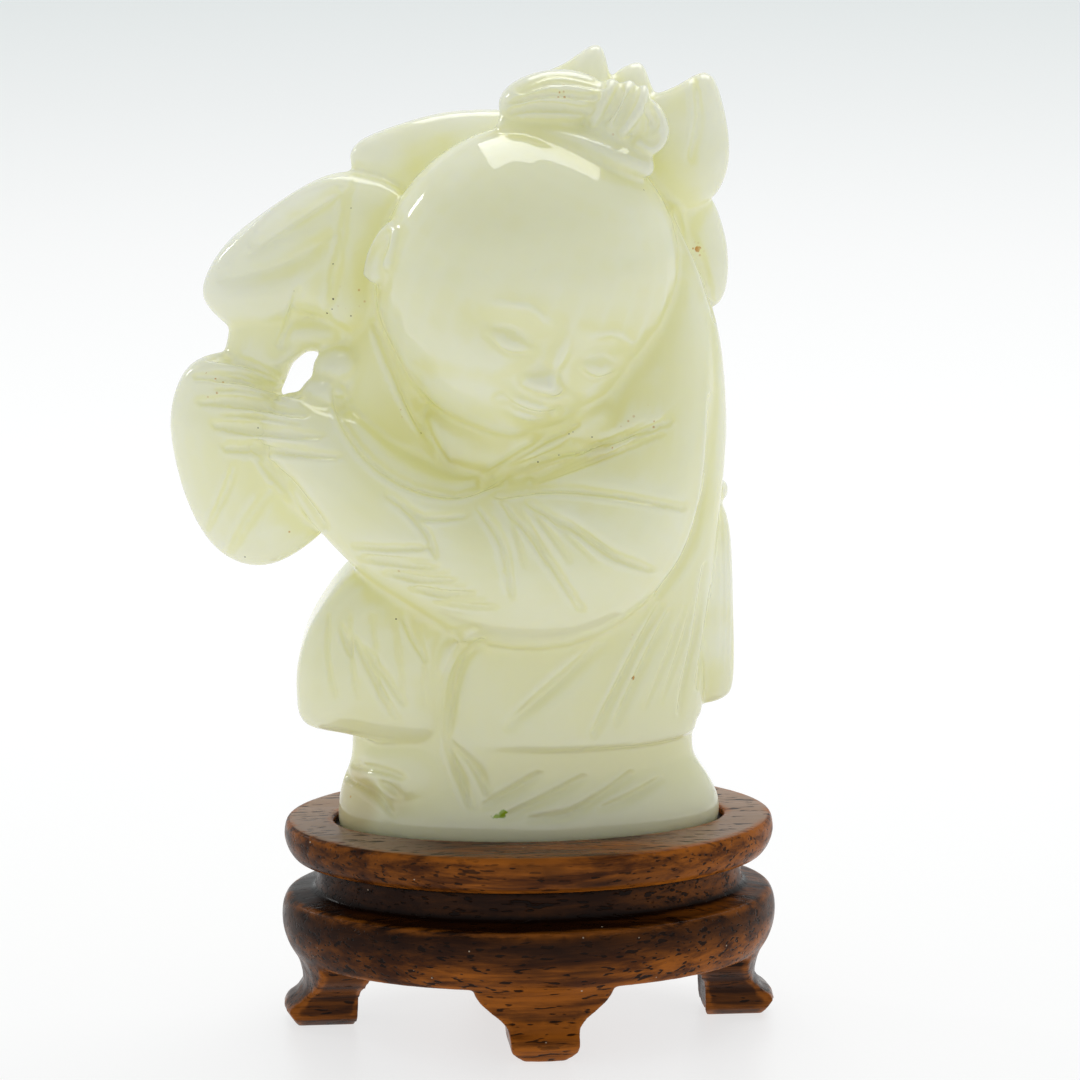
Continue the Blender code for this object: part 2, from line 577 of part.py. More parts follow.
def carved(mesh):
    count = len(mesh.vertices)
    points = np.empty(count * 3)
    mesh.vertices.foreach_get("co", points)
    points = points.reshape(count, 3)
    normals = np.array([corner.normal for corner in mesh.vertices])
    front = seen_from(rise=CARVING_RISE)
    for cuts in (LEAF_CUTS, PLEATS, SLEEVE_CUTS, ROBE_CUTS, FOOT_CUTS, HAIR_CUTS):
        points = carve(points, normals, cuts, front)
    face = tuple(HEAD.to_3x3() @ axis for axis in seen_from())
    points = carve(points, normals, FACE_CUTS, face, HEAD_MIDDLE, reach=HEAD_REACH)
    points = swell(points, normals, FACE_SWELLS, face, HEAD_MIDDLE, reach=HEAD_REACH)
    points = carve(points, normals, BACK_CUTS, seen_from(turn=180))
    points[:, 2] = np.where(points[:, 2] < 0.5, 0.0, points[:, 2])
    mesh.vertices.foreach_set("co", points.ravel())
    mesh.update()


def jade_boy(collection):
    rough = new_object("jade_rough", rough_figure(), collection)
    union = rough.modifiers.new("union", "REMESH")
    union.mode = "VOXEL"
    union.voxel_size = GRAIN / SHARE
    polish = rough.modifiers.new("polish", "SMOOTH")
    polish.factor = 0.5
    polish.iterations = POLISH_PASSES
    mesh = baked(rough)
    bpy.data.objects.remove(rough)
    carved(mesh)
    mesh.transform(Matrix.Rotation(FIGURE_TURN, 4, "Z") @ Matrix.Scale(SHARE, 4))
    boy = new_object("jade_boy", mesh, collection)
    thin = boy.modifiers.new("facets", "DECIMATE")
    thin.ratio = FIGURE_FACES / (2 * len(mesh.polygons))
    thin.use_collapse_triangulate = True
    boy.data = baked(boy)
    boy.modifiers.clear()
    boy.location.z = FIGURE_FLOOR
    return boy


def oval(length, depth, height, inset=0.0, steps=RIM_STEPS):
    ring = []
    for k in range(steps):
        angle = 2 * math.pi * k / steps
        x = (length / 2 - inset) * math.cos(angle)
        y = (depth / 2 - inset) * math.sin(angle)
        ring.append(Vector((x, y, height)))
    return ring


def stand_block(collection):
    """The plate, the waist and the band as one oval turned shape, with the figure's pocket in its top."""
    swell = EDGE_INSET
    profile = [
        (1.25 * swell, FOOT_HEIGHT),
        (0.6 * swell, FOOT_HEIGHT + 0.18 * BAND_HEIGHT),
        (0.15 * swell, FOOT_HEIGHT + 0.4 * BAND_HEIGHT),
        (0, FOOT_HEIGHT + 0.62 * BAND_HEIGHT),
        (0.1 * swell, FOOT_HEIGHT + 0.8 * BAND_HEIGHT),
        (0.4 * swell, FOOT_HEIGHT + 0.94 * BAND_HEIGHT),
        (0.7 * swell, BAND_TOP),
        (WAIST_INSET, BAND_TOP + 0.12 * WAIST_HEIGHT),
        (1.07 * WAIST_INSET, BAND_TOP + 0.5 * WAIST_HEIGHT),
        (WAIST_INSET, WAIST_TOP - 0.05 * WAIST_HEIGHT),
        (PLATE_INSET + swell, WAIST_TOP),
        (PLATE_INSET + 0.4 * swell, WAIST_TOP + 0.22 * PLATE_THICK),
        (PLATE_INSET, WAIST_TOP + 0.55 * PLATE_THICK),
        (PLATE_INSET + 0.1 * swell, WAIST_TOP + 0.8 * PLATE_THICK),
        (PLATE_INSET + 0.4 * swell, STAND_HEIGHT - 0.04 * PLATE_THICK),
        (PLATE_INSET + 0.6 * swell, STAND_HEIGHT),
    ]
    rings = [oval(STAND_LENGTH, STAND_DEPTH, height, inset) for inset, height in profile]
    seat = (BASE_LENGTH + 2 * SEAT_GAP, BASE_DEPTH + 2 * SEAT_GAP)
    rings.append(oval(*seat, STAND_HEIGHT))
    rings.append(oval(*seat, STAND_HEIGHT - POCKET_DEPTH))
    block = bmesh.new()
    skin(block, rings)
    bmesh.ops.recalc_face_normals(block, faces=block.faces)
    mesh = bpy.data.meshes.new("stand")
    block.to_mesh(mesh)
    block.free()
    return new_object("wood_stand", mesh, collection)


def slab(name, outline, thick, collection):
    """A flat plate of the outline in x and z, thick along y and centred on it."""
    plate = bmesh.new()
    skin(plate, [[Vector((x, y, z)) for x, z in outline] for y in (-thick / 2, thick / 2)])
    bmesh.ops.recalc_face_normals(plate, faces=plate.faces)
    mesh = bpy.data.meshes.new(name)
    plate.to_mesh(mesh)
    plate.free()
    return new_object(name, mesh, collection)


def bent_to_oval(foot, length, depth):
    """Cuts the foot into upright strips and sets each back, so that its show side follows the stand's oval."""
    strips = bmesh.new()
    strips.from_mesh(foot.data)
    for k in range(-2, 3):
        bmesh.ops.bisect_plane(
            strips,
            geom=strips.verts[:] + strips.edges[:] + strips.faces[:],
            plane_co=(k * FOOT_WIDTH / 6, 0, 0),
            plane_no=(1, 0, 0),
            dist=1e-7,
        )
    for corner in strips.verts:
        corner.co.y += depth / 2 * (1 - math.sqrt(1 - (2 * corner.co.x / length) ** 2))
    bmesh.ops.triangulate(strips, faces=strips.faces)
    strips.to_mesh(foot.data)
    strips.free()


def join_by(tool, target, operation):
    cut = target.modifiers.new(operation.lower(), "BOOLEAN")
    cut.operation = operation
    cut.solver = "EXACT"
    cut.object = tool
    target.data = baked(target)
    target.modifiers.clear()
    bpy.data.objects.remove(tool)


def stand_foot(collection):
    """One bracket foot at the origin, its show side towards -Y, its top inside the band."""
    top = FOOT_HEIGHT + 0.35 * BAND_HEIGHT
    half = ANKLE_WIDTH / 2
    bracket = [(0.5, 1.0), (0.48, 0.88), (0.44, 0.77), (0.38, 0.66), (0.31, 0.55), (0.26, 0.46)]
    edge = [(FOOT_WIDTH / 2, top)] + [(FOOT_WIDTH * x, FOOT_HEIGHT * z) for x, z in bracket]
    edge += [(half, 0.36 * FOOT_HEIGHT), (0.96 * half, 0.14 * FOOT_HEIGHT), (0.6 * half, 0)]
    face = edge + [(-x, z) for x, z in reversed(edge)]
    foot = slab("foot", face, STAND_LENGTH, collection)
    neck = ANKLE_THICK
    toe = ANKLE_THICK + TOE_REACH
    flank = [
        (0, top), (0, 0), (toe - TOE_CHAMFER, 0), (toe, 0.75 * TOE_HEIGHT),
        (toe - 0.15 * TOE_REACH, TOE_HEIGHT),
        (neck + 0.35 * TOE_REACH, 1.3 * TOE_HEIGHT), (neck, 0.56 * FOOT_HEIGHT), (neck, 0.7 * FOOT_HEIGHT),
        (neck + 0.14 * TOE_REACH, 0.86 * FOOT_HEIGHT), (neck + 0.36 * TOE_REACH, FOOT_HEIGHT),
        (neck + 0.36 * TOE_REACH, top),
    ]
    outline = slab("flank", flank, STAND_LENGTH, collection)
    outline.data.transform(Matrix.Rotation(math.radians(-90), 4, "Z"))
    join_by(outline, foot, "INTERSECT")
    foot.data.transform(Matrix.Translation((0, toe, 0)))
    return foot


def wood_stand(collection):
    stand = stand_block(collection)
    for quarter in range(4):
        length, depth = (STAND_LENGTH, STAND_DEPTH) if quarter % 2 == 0 else (STAND_DEPTH, STAND_LENGTH)
        foot = stand_foot(collection)
        bent_to_oval(foot, length, depth)
        place = Matrix.Rotation(math.radians(90 * quarter), 4, "Z") @ Matrix.Translation((0, -depth / 2, 0))
        foot.data.transform(place)
        join_by(foot, stand, "UNION")
    return stand


def centred(pieces):
    """Moves the pieces so the row's origin is on the floor under the middle of all of them."""
    bpy.context.view_layer.update()
    corners = np.array([piece.matrix_world @ corner.co for piece in pieces for corner in piece.data.vertices])
    middle = (corners.min(axis=0) + corners.max(axis=0)) / 2
    for piece in pieces:
        piece.location -= Vector((middle[0], middle[1], 0.0))


def material(name, colour, roughness):
    made = bpy.data.materials.new(name)
    made.use_nodes = True
    surface = made.node_tree.nodes["Principled BSDF"]
    surface.inputs["Base Color"].default_value = (*colour, 1.0)
    surface.inputs["Roughness"].default_value = roughness
    surface.inputs["Metallic"].default_value = 0.0
    return made


def main():
    clear_scene()
    collection = bpy.data.collections.new("jade boy on a stand")
    bpy.context.scene.collection.children.link(collection)
    stand = wood_stand(collection)
    boy = jade_boy(collection)
    stand.data.materials.append(material("hardwood", (0.16, 0.065, 0.03), 0.45))
    boy.data.materials.append(material("jade", (0.74, 0.77, 0.5), 0.15))
    centred([stand, boy])


main()
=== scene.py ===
"""The finish of the jade boy and his hardwood stand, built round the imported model.

Each of the two solids is shown by a finer mesh of the same form: the same shapes and cuts, with the hair's
strands, the hair-fine folds and the wear that the solids leave out. The carving is written in shares of the
stone's height, and set down on the stand where the frame says that it is.
"""

import json
import math

import bmesh
import bpy
import numpy as np
from mathutils import Matrix, Vector
from mathutils.bvhtree import BVHTree

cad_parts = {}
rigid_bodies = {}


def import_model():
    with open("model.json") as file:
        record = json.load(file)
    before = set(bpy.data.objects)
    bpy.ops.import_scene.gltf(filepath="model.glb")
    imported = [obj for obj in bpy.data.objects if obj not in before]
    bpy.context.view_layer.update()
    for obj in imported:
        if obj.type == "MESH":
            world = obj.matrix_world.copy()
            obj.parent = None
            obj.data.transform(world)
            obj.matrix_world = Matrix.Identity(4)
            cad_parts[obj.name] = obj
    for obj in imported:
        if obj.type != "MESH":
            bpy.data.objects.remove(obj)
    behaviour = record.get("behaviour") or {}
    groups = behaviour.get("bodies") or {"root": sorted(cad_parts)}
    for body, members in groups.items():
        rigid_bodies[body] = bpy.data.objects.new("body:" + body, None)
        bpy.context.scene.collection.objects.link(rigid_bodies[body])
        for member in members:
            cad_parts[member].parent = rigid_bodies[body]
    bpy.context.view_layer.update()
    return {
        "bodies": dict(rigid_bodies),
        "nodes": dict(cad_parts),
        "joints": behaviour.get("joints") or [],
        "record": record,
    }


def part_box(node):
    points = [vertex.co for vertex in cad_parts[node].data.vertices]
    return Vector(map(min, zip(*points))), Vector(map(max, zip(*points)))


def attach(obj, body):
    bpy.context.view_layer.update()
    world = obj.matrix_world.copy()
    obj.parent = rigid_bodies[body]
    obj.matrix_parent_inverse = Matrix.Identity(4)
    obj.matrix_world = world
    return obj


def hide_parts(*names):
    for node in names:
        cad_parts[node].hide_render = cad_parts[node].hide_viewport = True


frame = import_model()

MM = 0.001

# The jade figure
STONE_HEIGHT = 55.5 * MM
FIGURE_TURN = math.radians(-5.5)
SHARE = STONE_HEIGHT / 100

# The figure's underside, the oval that seats in the stand's pocket
BASE_LENGTH = 27.0 * MM
BASE_DEPTH = 14.1 * MM

# The head, and in degrees how it is bowed, turned and tipped to one side
HEAD_WIDTH = 21.2 * MM
HEAD_DEPTH = 18.2 * MM
HEAD_LENGTH = 22.0 * MM
HEAD_RISE = 39.1 * MM
HEAD_BOW = 10
HEAD_YAW = 24
HEAD_TIP = 21

# The height the carving is seen from, in degrees above the level
CARVING_RISE = 12

# The hardwood stand
STAND_LENGTH = 35.0 * MM
STAND_DEPTH = 25.2 * MM
PLATE_THICK = 2.64 * MM
WAIST_HEIGHT = 2.66 * MM
BAND_HEIGHT = 4.3 * MM
FOOT_HEIGHT = 5.1 * MM
PLATE_INSET = 0.2 * MM
WAIST_INSET = 2.3 * MM
EDGE_INSET = 0.7 * MM
POCKET_DEPTH = 0.8 * MM
SEAT_GAP = 0.3 * MM
RIM_STEPS = 192

# The stand's feet, brackets that end in a toe turned outwards
FOOT_WIDTH = 9.9 * MM
ANKLE_WIDTH = 4.9 * MM
ANKLE_THICK = 3.5 * MM
TOE_REACH = 1.4 * MM
TOE_HEIGHT = 1.6 * MM
TOE_CHAMFER = 0.85 * MM

BAND_TOP = FOOT_HEIGHT + BAND_HEIGHT
WAIST_TOP = BAND_TOP + WAIST_HEIGHT
STAND_HEIGHT = WAIST_TOP + PLATE_THICK
FIGURE_FLOOR = STAND_HEIGHT - POCKET_DEPTH + SEAT_GAP

# The fine meshes
STONE_GRAIN = 0.155 * MM
STONE_POLISH = 18
STONE_FACES = 190000
WOOD_GRAIN = 0.17 * MM
WOOD_POLISH = 3
WOOD_FACES = 170000

# How much deeper the fine mesh is cut than the solid, and the shares above its underside that are ground flat
CUT_DEEPER = 1.3
BACK_CUT_DEEPER = 1.7
FINE_CUT_DEEPER = 1.5
BASE_FLAT = 0.5

# The photograph's view: its side of the figure, how far off and how high its camera is, and what it looks at
PHOTO_SIDE = math.radians(-5.5)
PHOTO_RISE = math.radians(12)
PHOTO_DISTANCE = 420 * MM
PHOTO_LENS = 200
PHOTO_SENSOR = 36
PHOTO_PIXELS = 1080
PHOTO_AIM = (0.77 * MM, 0.0, 34.5 * MM)

# Colours, and the finishes' plain values
JADE_PALE = (0.865, 0.862, 0.56)
JADE_DEEP = (0.845, 0.838, 0.505)
# The stone's milky tone, also used for painted highlights on ridges and for patches of painted sheen
JADE_MILK_AND_SHEEN = (0.88, 0.89, 0.71)
# Painted highlight: the paler colour of the cuts
JADE_GROOVE_HIGHLIGHT = (0.90, 0.90, 0.72)
# Painted shade: the honey colour of broad hollows and shaded patches
JADE_HONEY_SHADE = (0.805, 0.785, 0.355)
# Painted shade: amber where that shade is deepest
JADE_AMBER_SHADE = (0.60, 0.52, 0.26)
# Painted shade: the darker colour towards the foot
JADE_FOOT_SHADE = (0.755, 0.745, 0.46)
JADE_RUST = (0.55, 0.27, 0.03)
JADE_MOSS = (0.26, 0.38, 0.02)
JADE_PIT = (0.05, 0.035, 0.015)
JADE_BODY = {
    "Subsurface Weight": 0.55, "Subsurface Radius": (1.0, 0.95, 0.65), "Subsurface Scale": 12 * MM,
    "IOR": 1.62, "Specular IOR Level": 0.6,
}
PIT_RADIUS = 0.14 * MM
PIT_CORE = 0.095 * MM
# The dark of the smoky patches and side feet, also painted shade at the left, in the waist and on the band's
# top
WOOD_DARK = (0.011, 0.0032, 0.0011)
WOOD_BROWN = (0.060, 0.015, 0.0022)
# Orange of the grain and rubbed edges, also painted light at the right and on the front foot
WOOD_ORANGE = (0.36, 0.105, 0.010)
# Pores, and the painted shade in creases
WOOD_PORE_AND_SHADE = (0.006, 0.002, 0.001)
# Dust, and painted sheen on the plate's ends
WOOD_DUST_AND_SHEEN = (0.30, 0.20, 0.14)
WOOD_SPECK = (0.62, 0.50, 0.38)
WOOD_BODY = {"IOR": 1.38, "Specular IOR Level": 0.14}

# The floor, which glows as painted light: its colours as (distance, red, green, blue), a painted fall-off,
# and how much darker it is towards the viewer, as painted shade
FLOOR_REACH = 1.5
FLOOR_STOPS = [
    (0.16, 1.0, 1.0, 1.0), (0.34, 0.90, 0.905, 0.905), (0.48, 0.80, 0.82, 0.82), (0.60, 0.73, 0.765, 0.765),
    (0.9, 0.68, 0.74, 0.74),
]
FLOOR_MATT = (0.24, 0.24, 0.24)
FLOOR_FRONT = 0.2
FLOOR_BODY = {"Emission Strength": 0.70, "Roughness": 0.35, "Specular IOR Level": 0.1}

# The light: a white tent's strength before, behind and above, and two lamps placed from the figure's middle
TENT_COLOUR = (0.97, 1.0, 1.0, 1.0)
TENT_FRONT = 0.78
TENT_BACK = 0.8
TENT_TOP = 0.58
LIT_HEIGHT = 45 * MM
LAMP_PLACE = (0.12, 0.28, 0.42)
LAMP_SIZE = (0.50, 0.50)
LAMP_WATTS = 1.9
GLINT_PLACE = (-0.292, 0.208, 0.172)
GLINT_SIZE = (0.05, 0.07)
GLINT_WATTS = 0.11

# Marks and painted light on the stone, at the photograph's pixels, as (pixel across, pixel down, radius in
# mm, strength): rust and moss are the stone's own marks, honey is painted shade and milk is painted sheen.
# The fine black pits have a pixel alone.
STAINS_AND_PAINTED_LIGHT = {
    "rust": [
        (700, 73, 0.7, 0.8), (689, 75, 0.5, 0.6), (711, 80, 0.6, 0.7), (351, 804, 0.36, 1.5),
        (698, 249, 0.26, 1.6), (633, 678, 0.2, 1.3), (206, 372, 0.5, 0.8), (221, 378, 0.4, 0.8),
        (236, 398, 0.45, 0.8), (212, 396, 0.5, 0.6), (291, 530, 0.22, 1.2), (612, 448, 0.9, 0.6),
        (628, 432, 1, 0.6), (646, 420, 0.8, 0.5), (404, 408, 0.8, 0.7), (560, 92, 0.9, 0.5),
        (620, 126, 0.8, 0.5), (400, 580, 1.2, 0.5), (352, 300, 1.2, 0.4), (640, 640, 1, 0.4),
    ],
    "honey_shade": [
        (362, 286, 2, 0.7), (356, 330, 2.2, 0.6), (366, 262, 1.4, 0.5), (392, 430, 2.6, 0.7),
        (450, 458, 3, 0.85), (540, 456, 3.2, 0.75), (625, 425, 2.8, 0.8), (370, 590, 2.6, 0.6),
        (430, 640, 2.4, 0.6), (452, 720, 1.5, 0.5), (612, 112, 3, 0.45), (545, 100, 2.6, 0.35),
        (700, 76, 1, 0.6), (352, 800, 3.4, 1.6), (396, 800, 2.8, 1), (640, 600, 3, 0.4),
        (250, 400, 2.4, 0.3), (300, 250, 2.4, 0.3), (470, 775, 2, 0.5), (690, 150, 2.6, 0.3),
        (495, 215, 4, 0.35), (590, 235, 4.4, 0.35), (645, 300, 3.4, 0.4), (430, 270, 3.4, 0.35),
        (660, 440, 3, 0.6), (420, 616, 3.2, 0.8), (600, 452, 3, 0.9), (490, 478, 3, 0.75),
    ],
    "milk_and_sheen": [
        (228, 268, 3.2, 1), (262, 236, 3.2, 1), (300, 190, 2.4, 0.8), (345, 160, 2.4, 0.6),
        (700, 130, 2.2, 0.5), (430, 148, 3, 0.9), (480, 128, 2.4, 0.7), (385, 160, 2.4, 0.7),
        (600, 135, 2.2, 0.8), (718, 640, 3.2, 0.9), (716, 580, 3, 0.7), (722, 700, 2.6, 0.8),
    ],
    "moss": [(503, 814, 0.34, 1), (496, 817, 0.28, 0.9), (490, 819, 0.18, 0.7)],
}
PIT_PIXELS = [
    (351, 208), (333, 264), (333, 299), (332, 309), (327, 313), (219, 268), (294, 291), (351, 316),
    (421, 433), (258, 428), (569, 434), (573, 432), (559, 455), (538, 462), (592, 437), (245, 557),
    (396, 619), (644, 190), (632, 678), (312, 365),
]

HEAD_MIDDLE = Vector((-0.4, -3.0, HEAD_RISE / SHARE))
HEAD_REACH = 0.62 * HEAD_LENGTH / SHARE
EAR_TURNS = [math.radians(k) for k in range(-60, 181, 40)]
HEAD = (
    Matrix.Translation(HEAD_MIDDLE)
    @ Matrix.Rotation(math.radians(HEAD_TIP), 4, "Y")
    @ Matrix.Rotation(math.radians(HEAD_YAW), 4, "Z")
    @ Matrix.Rotation(math.radians(HEAD_BOW), 4, "X")
)

low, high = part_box("wood_stand")
STAND_MIDDLE = Vector(((low.x + high.x) / 2, (low.y + high.y) / 2, 0.0))


def new_object(name, mesh, collection):
    thing = bpy.data.objects.new(name, mesh)
    collection.objects.link(thing)
    return thing


def flowing(points, steps, closed=False):
    """The points of a smooth line through the given points, each of any number of values."""
    knots = np.array(points, float)
    if closed:
        around = np.vstack([knots[-1:], knots, knots[:2]])
    else:
        around = np.vstack([2 * knots[0] - knots[1], knots, 2 * knots[-1] - knots[-2]])
    line = []
    for k in range(len(around) - 3):
        before, here, there, after = around[k : k + 4]
        for t in np.arange(steps) / steps:
            slope = there - before
            bend = 2 * before - 5 * here + 4 * there - after
            twist = 3 * here - before - 3 * there + after
            line.append(here + 0.5 * (slope * t + bend * t**2 + twist * t**3))
    if not closed:
        line.append(knots[-1])
    return np.array(line)


def skin(forms, rings):
    """Adds a closed form to the mesh: faces between each ring and the next, and a lid on each end."""
    loops = [[forms.verts.new(point) for point in ring] for ring in rings]
    for lower, upper in zip(loops, loops[1:]):
        for k, corner in enumerate(lower):
            forms.faces.new((corner, lower[k - 1], upper[k - 1], upper[k]))
    forms.faces.new(loops[0])
    forms.faces.new(reversed(loops[-1]))


def egg(forms, centre, radii, tilt=0.0, lean=0.0, taper=0.0, frame=None):
    """Adds a ball with three radii. tilt turns its top to the viewer's right, lean brings it forward."""
    turn = Matrix.Rotation(math.radians(tilt), 4, "Y") @ Matrix.Rotation(math.radians(lean), 4, "X")
    place = (frame or Matrix()) @ Matrix.Translation(centre) @ turn
    made = bmesh.ops.create_uvsphere(forms, u_segments=32, v_segments=20, radius=1.0)
    for corner in made["verts"]:
        wide = 1 + taper * corner.co.z
        corner.co = place @ Vector(
            (corner.co.x * wide * radii[0], corner.co.y * wide * radii[1], corner.co.z * radii[2])
        )


def limb(forms, stations, sides=24, steps=4, round_ends=True, frame=None):
    """Adds a rounded length through stations of (x, y, z, radius across, radius in depth)."""
    line = flowing(stations, steps)
    if round_ends:
        line = with_domed_ends(line)
    ahead = np.gradient(line[:, :3], axis=0)
    rings = []
    for station, along in zip(line, ahead):
        across = Vector((along[2], 0.0, -along[0]))
        if across.length < 1e-6:
            across = Vector((1.0, 0.0, 0.0))
        across.normalize()
        deep = Vector(along).cross(across)
        deep.normalize()
        ring = []
        for k in range(sides):
            angle = 2 * math.pi * k / sides
            offset = across * (station[3] * math.cos(angle)) + deep * (station[4] * math.sin(angle))
            ring.append((frame or Matrix()) @ (Vector(station[:3]) + offset))
        rings.append(ring)
    skin(forms, rings)


def with_domed_ends(line, steps=4):
    """Adds stations past each end of the line that shrink as a dome does."""
    caps = []
    for end, inner in ((line[0], line[1]), (line[-1], line[-2])):
        out = end[:3] - inner[:3]
        out = out / np.linalg.norm(out) * min(end[3], end[4])
        cap = []
        for k in range(1, steps + 1):
            angle = math.radians(84) * k / steps
            cap.append(np.concatenate([end[:3] + out * math.sin(angle), end[3:] * math.cos(angle)]))
        caps.append(cap)
    return np.array(caps[0][::-1] + list(line) + caps[1])


def pad(forms, outline, depth, thick, lean=(0.0, 0.0), rim=0.28):
    """Adds a leaf-like form with the given outline in x and z: domed on both sides, thinner at its edge.

    depth is the y of its middle, lean the slope of its plane along x and z.
    """
    edge = flowing(outline, 4, closed=True)
    if spin_of(edge) < 0:
        edge = edge[::-1]
    middle = edge.mean(axis=0)

    def ring(size, side):
        bulge = thick * (rim + (1 - rim) * math.sqrt(max(0.0, 1 - size**2))) * side
        points = []
        for corner in middle + (edge - middle) * size:
            x, z = corner - middle
            points.append(Vector((corner[0], depth + lean[0] * x + lean[1] * z + bulge, corner[1])))
        return points

    sizes = (0.12, 0.4, 0.66, 0.86, 0.97, 1.0)
    skin(forms, [ring(size, -1) for size in sizes] + [ring(size, 1) for size in reversed(sizes)])


def spin_of(edge):
    """Above zero where the outline runs anticlockwise as the viewer sees it."""
    after = np.roll(edge, -1, axis=0)
    return float((edge[:, 0] * after[:, 1] - after[:, 0] * edge[:, 1]).sum())


def head_forms(forms):
    """A round child's head with a soft jaw and flat ears. The face swells out of it later."""
    radii = [size / 2 / SHARE for size in (HEAD_WIDTH, HEAD_DEPTH, HEAD_LENGTH)]
    egg(forms, (0, 0, 0), radii, taper=0.04, frame=HEAD)
    egg(forms, (0, -3.6, -8.6), (13.4, 11.4, 10.4), frame=HEAD)
    for side in (-1, 1):
        egg(forms, (18.3 * side, 1.6, -3), (1.2, 2.8, 4), tilt=-6 * side, frame=HEAD)
        rim = [(18.9 * side, 1.4 + 2.6 * math.cos(a), -3 + 3.9 * math.sin(a), 0.7, 0.7) for a in EAR_TURNS]
        limb(forms, rim, sides=12, frame=HEAD)


def hair_forms(forms):
    """A tuft of combed hair laid to one side, its tie of three bands, the curl past it and the hair below."""
    egg(forms, (3, -3.7, 92.8), (6.9, 5.4, 3.9), tilt=-6)
    for tie in (
        [(9.9, -4.2, 94.6, 1, 3), (9, -5, 93, 1.1, 3.8), (7.9, -5.2, 90.6, 1, 3.6)],
        [(12, -4, 94.2, 1, 3), (11.2, -5, 92.6, 1.1, 3.9), (9.9, -5.4, 90, 1, 3.7)],
        [(13.7, -4.2, 93.2, 0.9, 3.4), (13.1, -5.4, 91.8, 1.1, 4.2), (11.2, -6, 89.2, 0.9, 4)],
    ):
        limb(forms, tie, sides=16)
    egg(forms, (14.5, -4.2, 90), (2.7, 3.7, 3.4), tilt=-15)
    egg(forms, (10.6, -5.2, 88), (4.6, 3.6, 2), tilt=24)
    curl = [(15, -5.4, 92.4), (16.4, -5.6, 90.4), (16.4, -5.9, 88.4), (15, -6.6, 87.3), (13.3, -7, 88.3)]
    limb(forms, [(*place, 0.8, 1.7) for place in curl], sides=16)
    limb(forms, [
        (-2.4, -4.2, 90.2, 1.3, 3), (3.6, -6.4, 88.9, 1.7, 3.6), (9.4, -7, 86.9, 2, 3.8),
        (14, -6, 85.2, 1.5, 3.2),
    ], sides=20)


def spray_forms(forms):
    """The lotus spray over the boy's shoulder: leaves on the viewer's left, petals on the right."""
    pad(forms, [
        (-22.2, 85.6), (-16.2, 88.6), (-8.6, 90.3), (0, 89.8), (9, 85), (12, 75), (7, 64), (-4, 59),
        (-14, 61), (-20, 70), (-21.4, 80.6),
    ], depth=5.5, thick=4.6)
    pad(forms, [
        (-21.4, 82.8), (-26.4, 82), (-33.4, 77.6), (-38.5, 73.2), (-41, 68.2), (-39.2, 65), (-36, 63.2),
        (-32.4, 64), (-29, 65.8), (-25, 64.6), (-20, 61.6), (-14, 62), (-13, 70), (-15, 80),
    ], depth=1.8, thick=5.8, lean=(-0.12, 0.1))
    pad(forms, [
        (-36.8, 60.3), (-41, 60), (-43.8, 57.2), (-45, 51.5), (-43.4, 43.2), (-40.2, 36.9), (-35.8, 34.1),
        (-30.8, 34.8), (-25, 39.4), (-21, 46), (-22.4, 51), (-26.4, 53.6), (-31, 55.6),
    ], depth=-2, thick=5.2, lean=(-0.16, 0))
    pad(forms, [
        (-3, 87), (-0.6, 93.6), (4.5, 96.4), (8.6, 98.9), (10, 95.4), (11, 89), (7, 83), (0, 83),
    ], depth=4.6, thick=3.4)
    pad(forms, [
        (9.4, 91), (10.4, 94.6), (13.9, 96.4), (15.4, 93.2), (17.2, 89), (15, 84), (9, 84),
    ], depth=6.2, thick=3)
    pad(forms, [
        (14, 91), (18.4, 93.6), (22.3, 95.4), (24.2, 91.6), (25.1, 85.5), (24.1, 81.2), (21.8, 79),
        (15, 77), (11, 83),
    ], depth=4, thick=3.8)
    pad(forms, [
        (22, 80), (24.4, 75.6), (25.1, 70.4), (24.2, 66.4), (21.6, 65.4), (15, 67), (12, 74), (15, 81),
    ], depth=5.4, thick=3.4)


def arm_forms(forms):
    """The arm on the viewer's right comes down from the shoulder and crosses the belly in a wide sleeve."""
    limb(forms, [
        (14, 2, 76, 5.6, 5), (15, 0.6, 66, 7.6, 7.6), (14.6, -1.6, 56, 8.6, 9),
        (12.6, -4.4, 47.6, 9.8, 9.6), (8.4, -7.2, 40, 11.2, 10), (2, -8.8, 36, 11.6, 9.4),
        (-5, -9, 36.3, 10.8, 8.8), (-12, -8.6, 38.8, 9.4, 8.2), (-18.2, -7.8, 42.8, 8.2, 7.4),
        (-24.4, -6.8, 48, 7, 6.2), (-29.6, -5.6, 51.6, 5.2, 4.6),
    ], sides=32)
    limb(forms, [
        (-14, 1, 66, 8, 7), (-17.6, -0.6, 58, 6.8, 6.8), (-17, -2.4, 50, 6.6, 7.2),
        (-11, -3.4, 45, 6, 6.6),
    ], sides=28)
    limb(forms, [(-30.6, 2.2, 69.4, 6, 3.8), (-32.8, 1.8, 63.4, 4.8, 4), (-34.6, 0.8, 57.6, 4.1, 4)])
    limb(forms, [(-31.2, 1.4, 62.8, 2, 3.2), (-24, 0.6, 63.2, 2.6, 4.2)])
    limb(forms, [(-32.2, 0.8, 59.2, 1.7, 3.4), (-29, 1.2, 61.8, 1.7, 3.4)], sides=16)
    egg(forms, (-23.6, -2.8, 59.4), (3.6, 4, 2.7), tilt=-20)
    egg(forms, (-25.4, -4.8, 56.6), (3, 3.2, 2))
    egg(forms, (-20.4, -1.4, 58), (4.2, 4.4, 6))


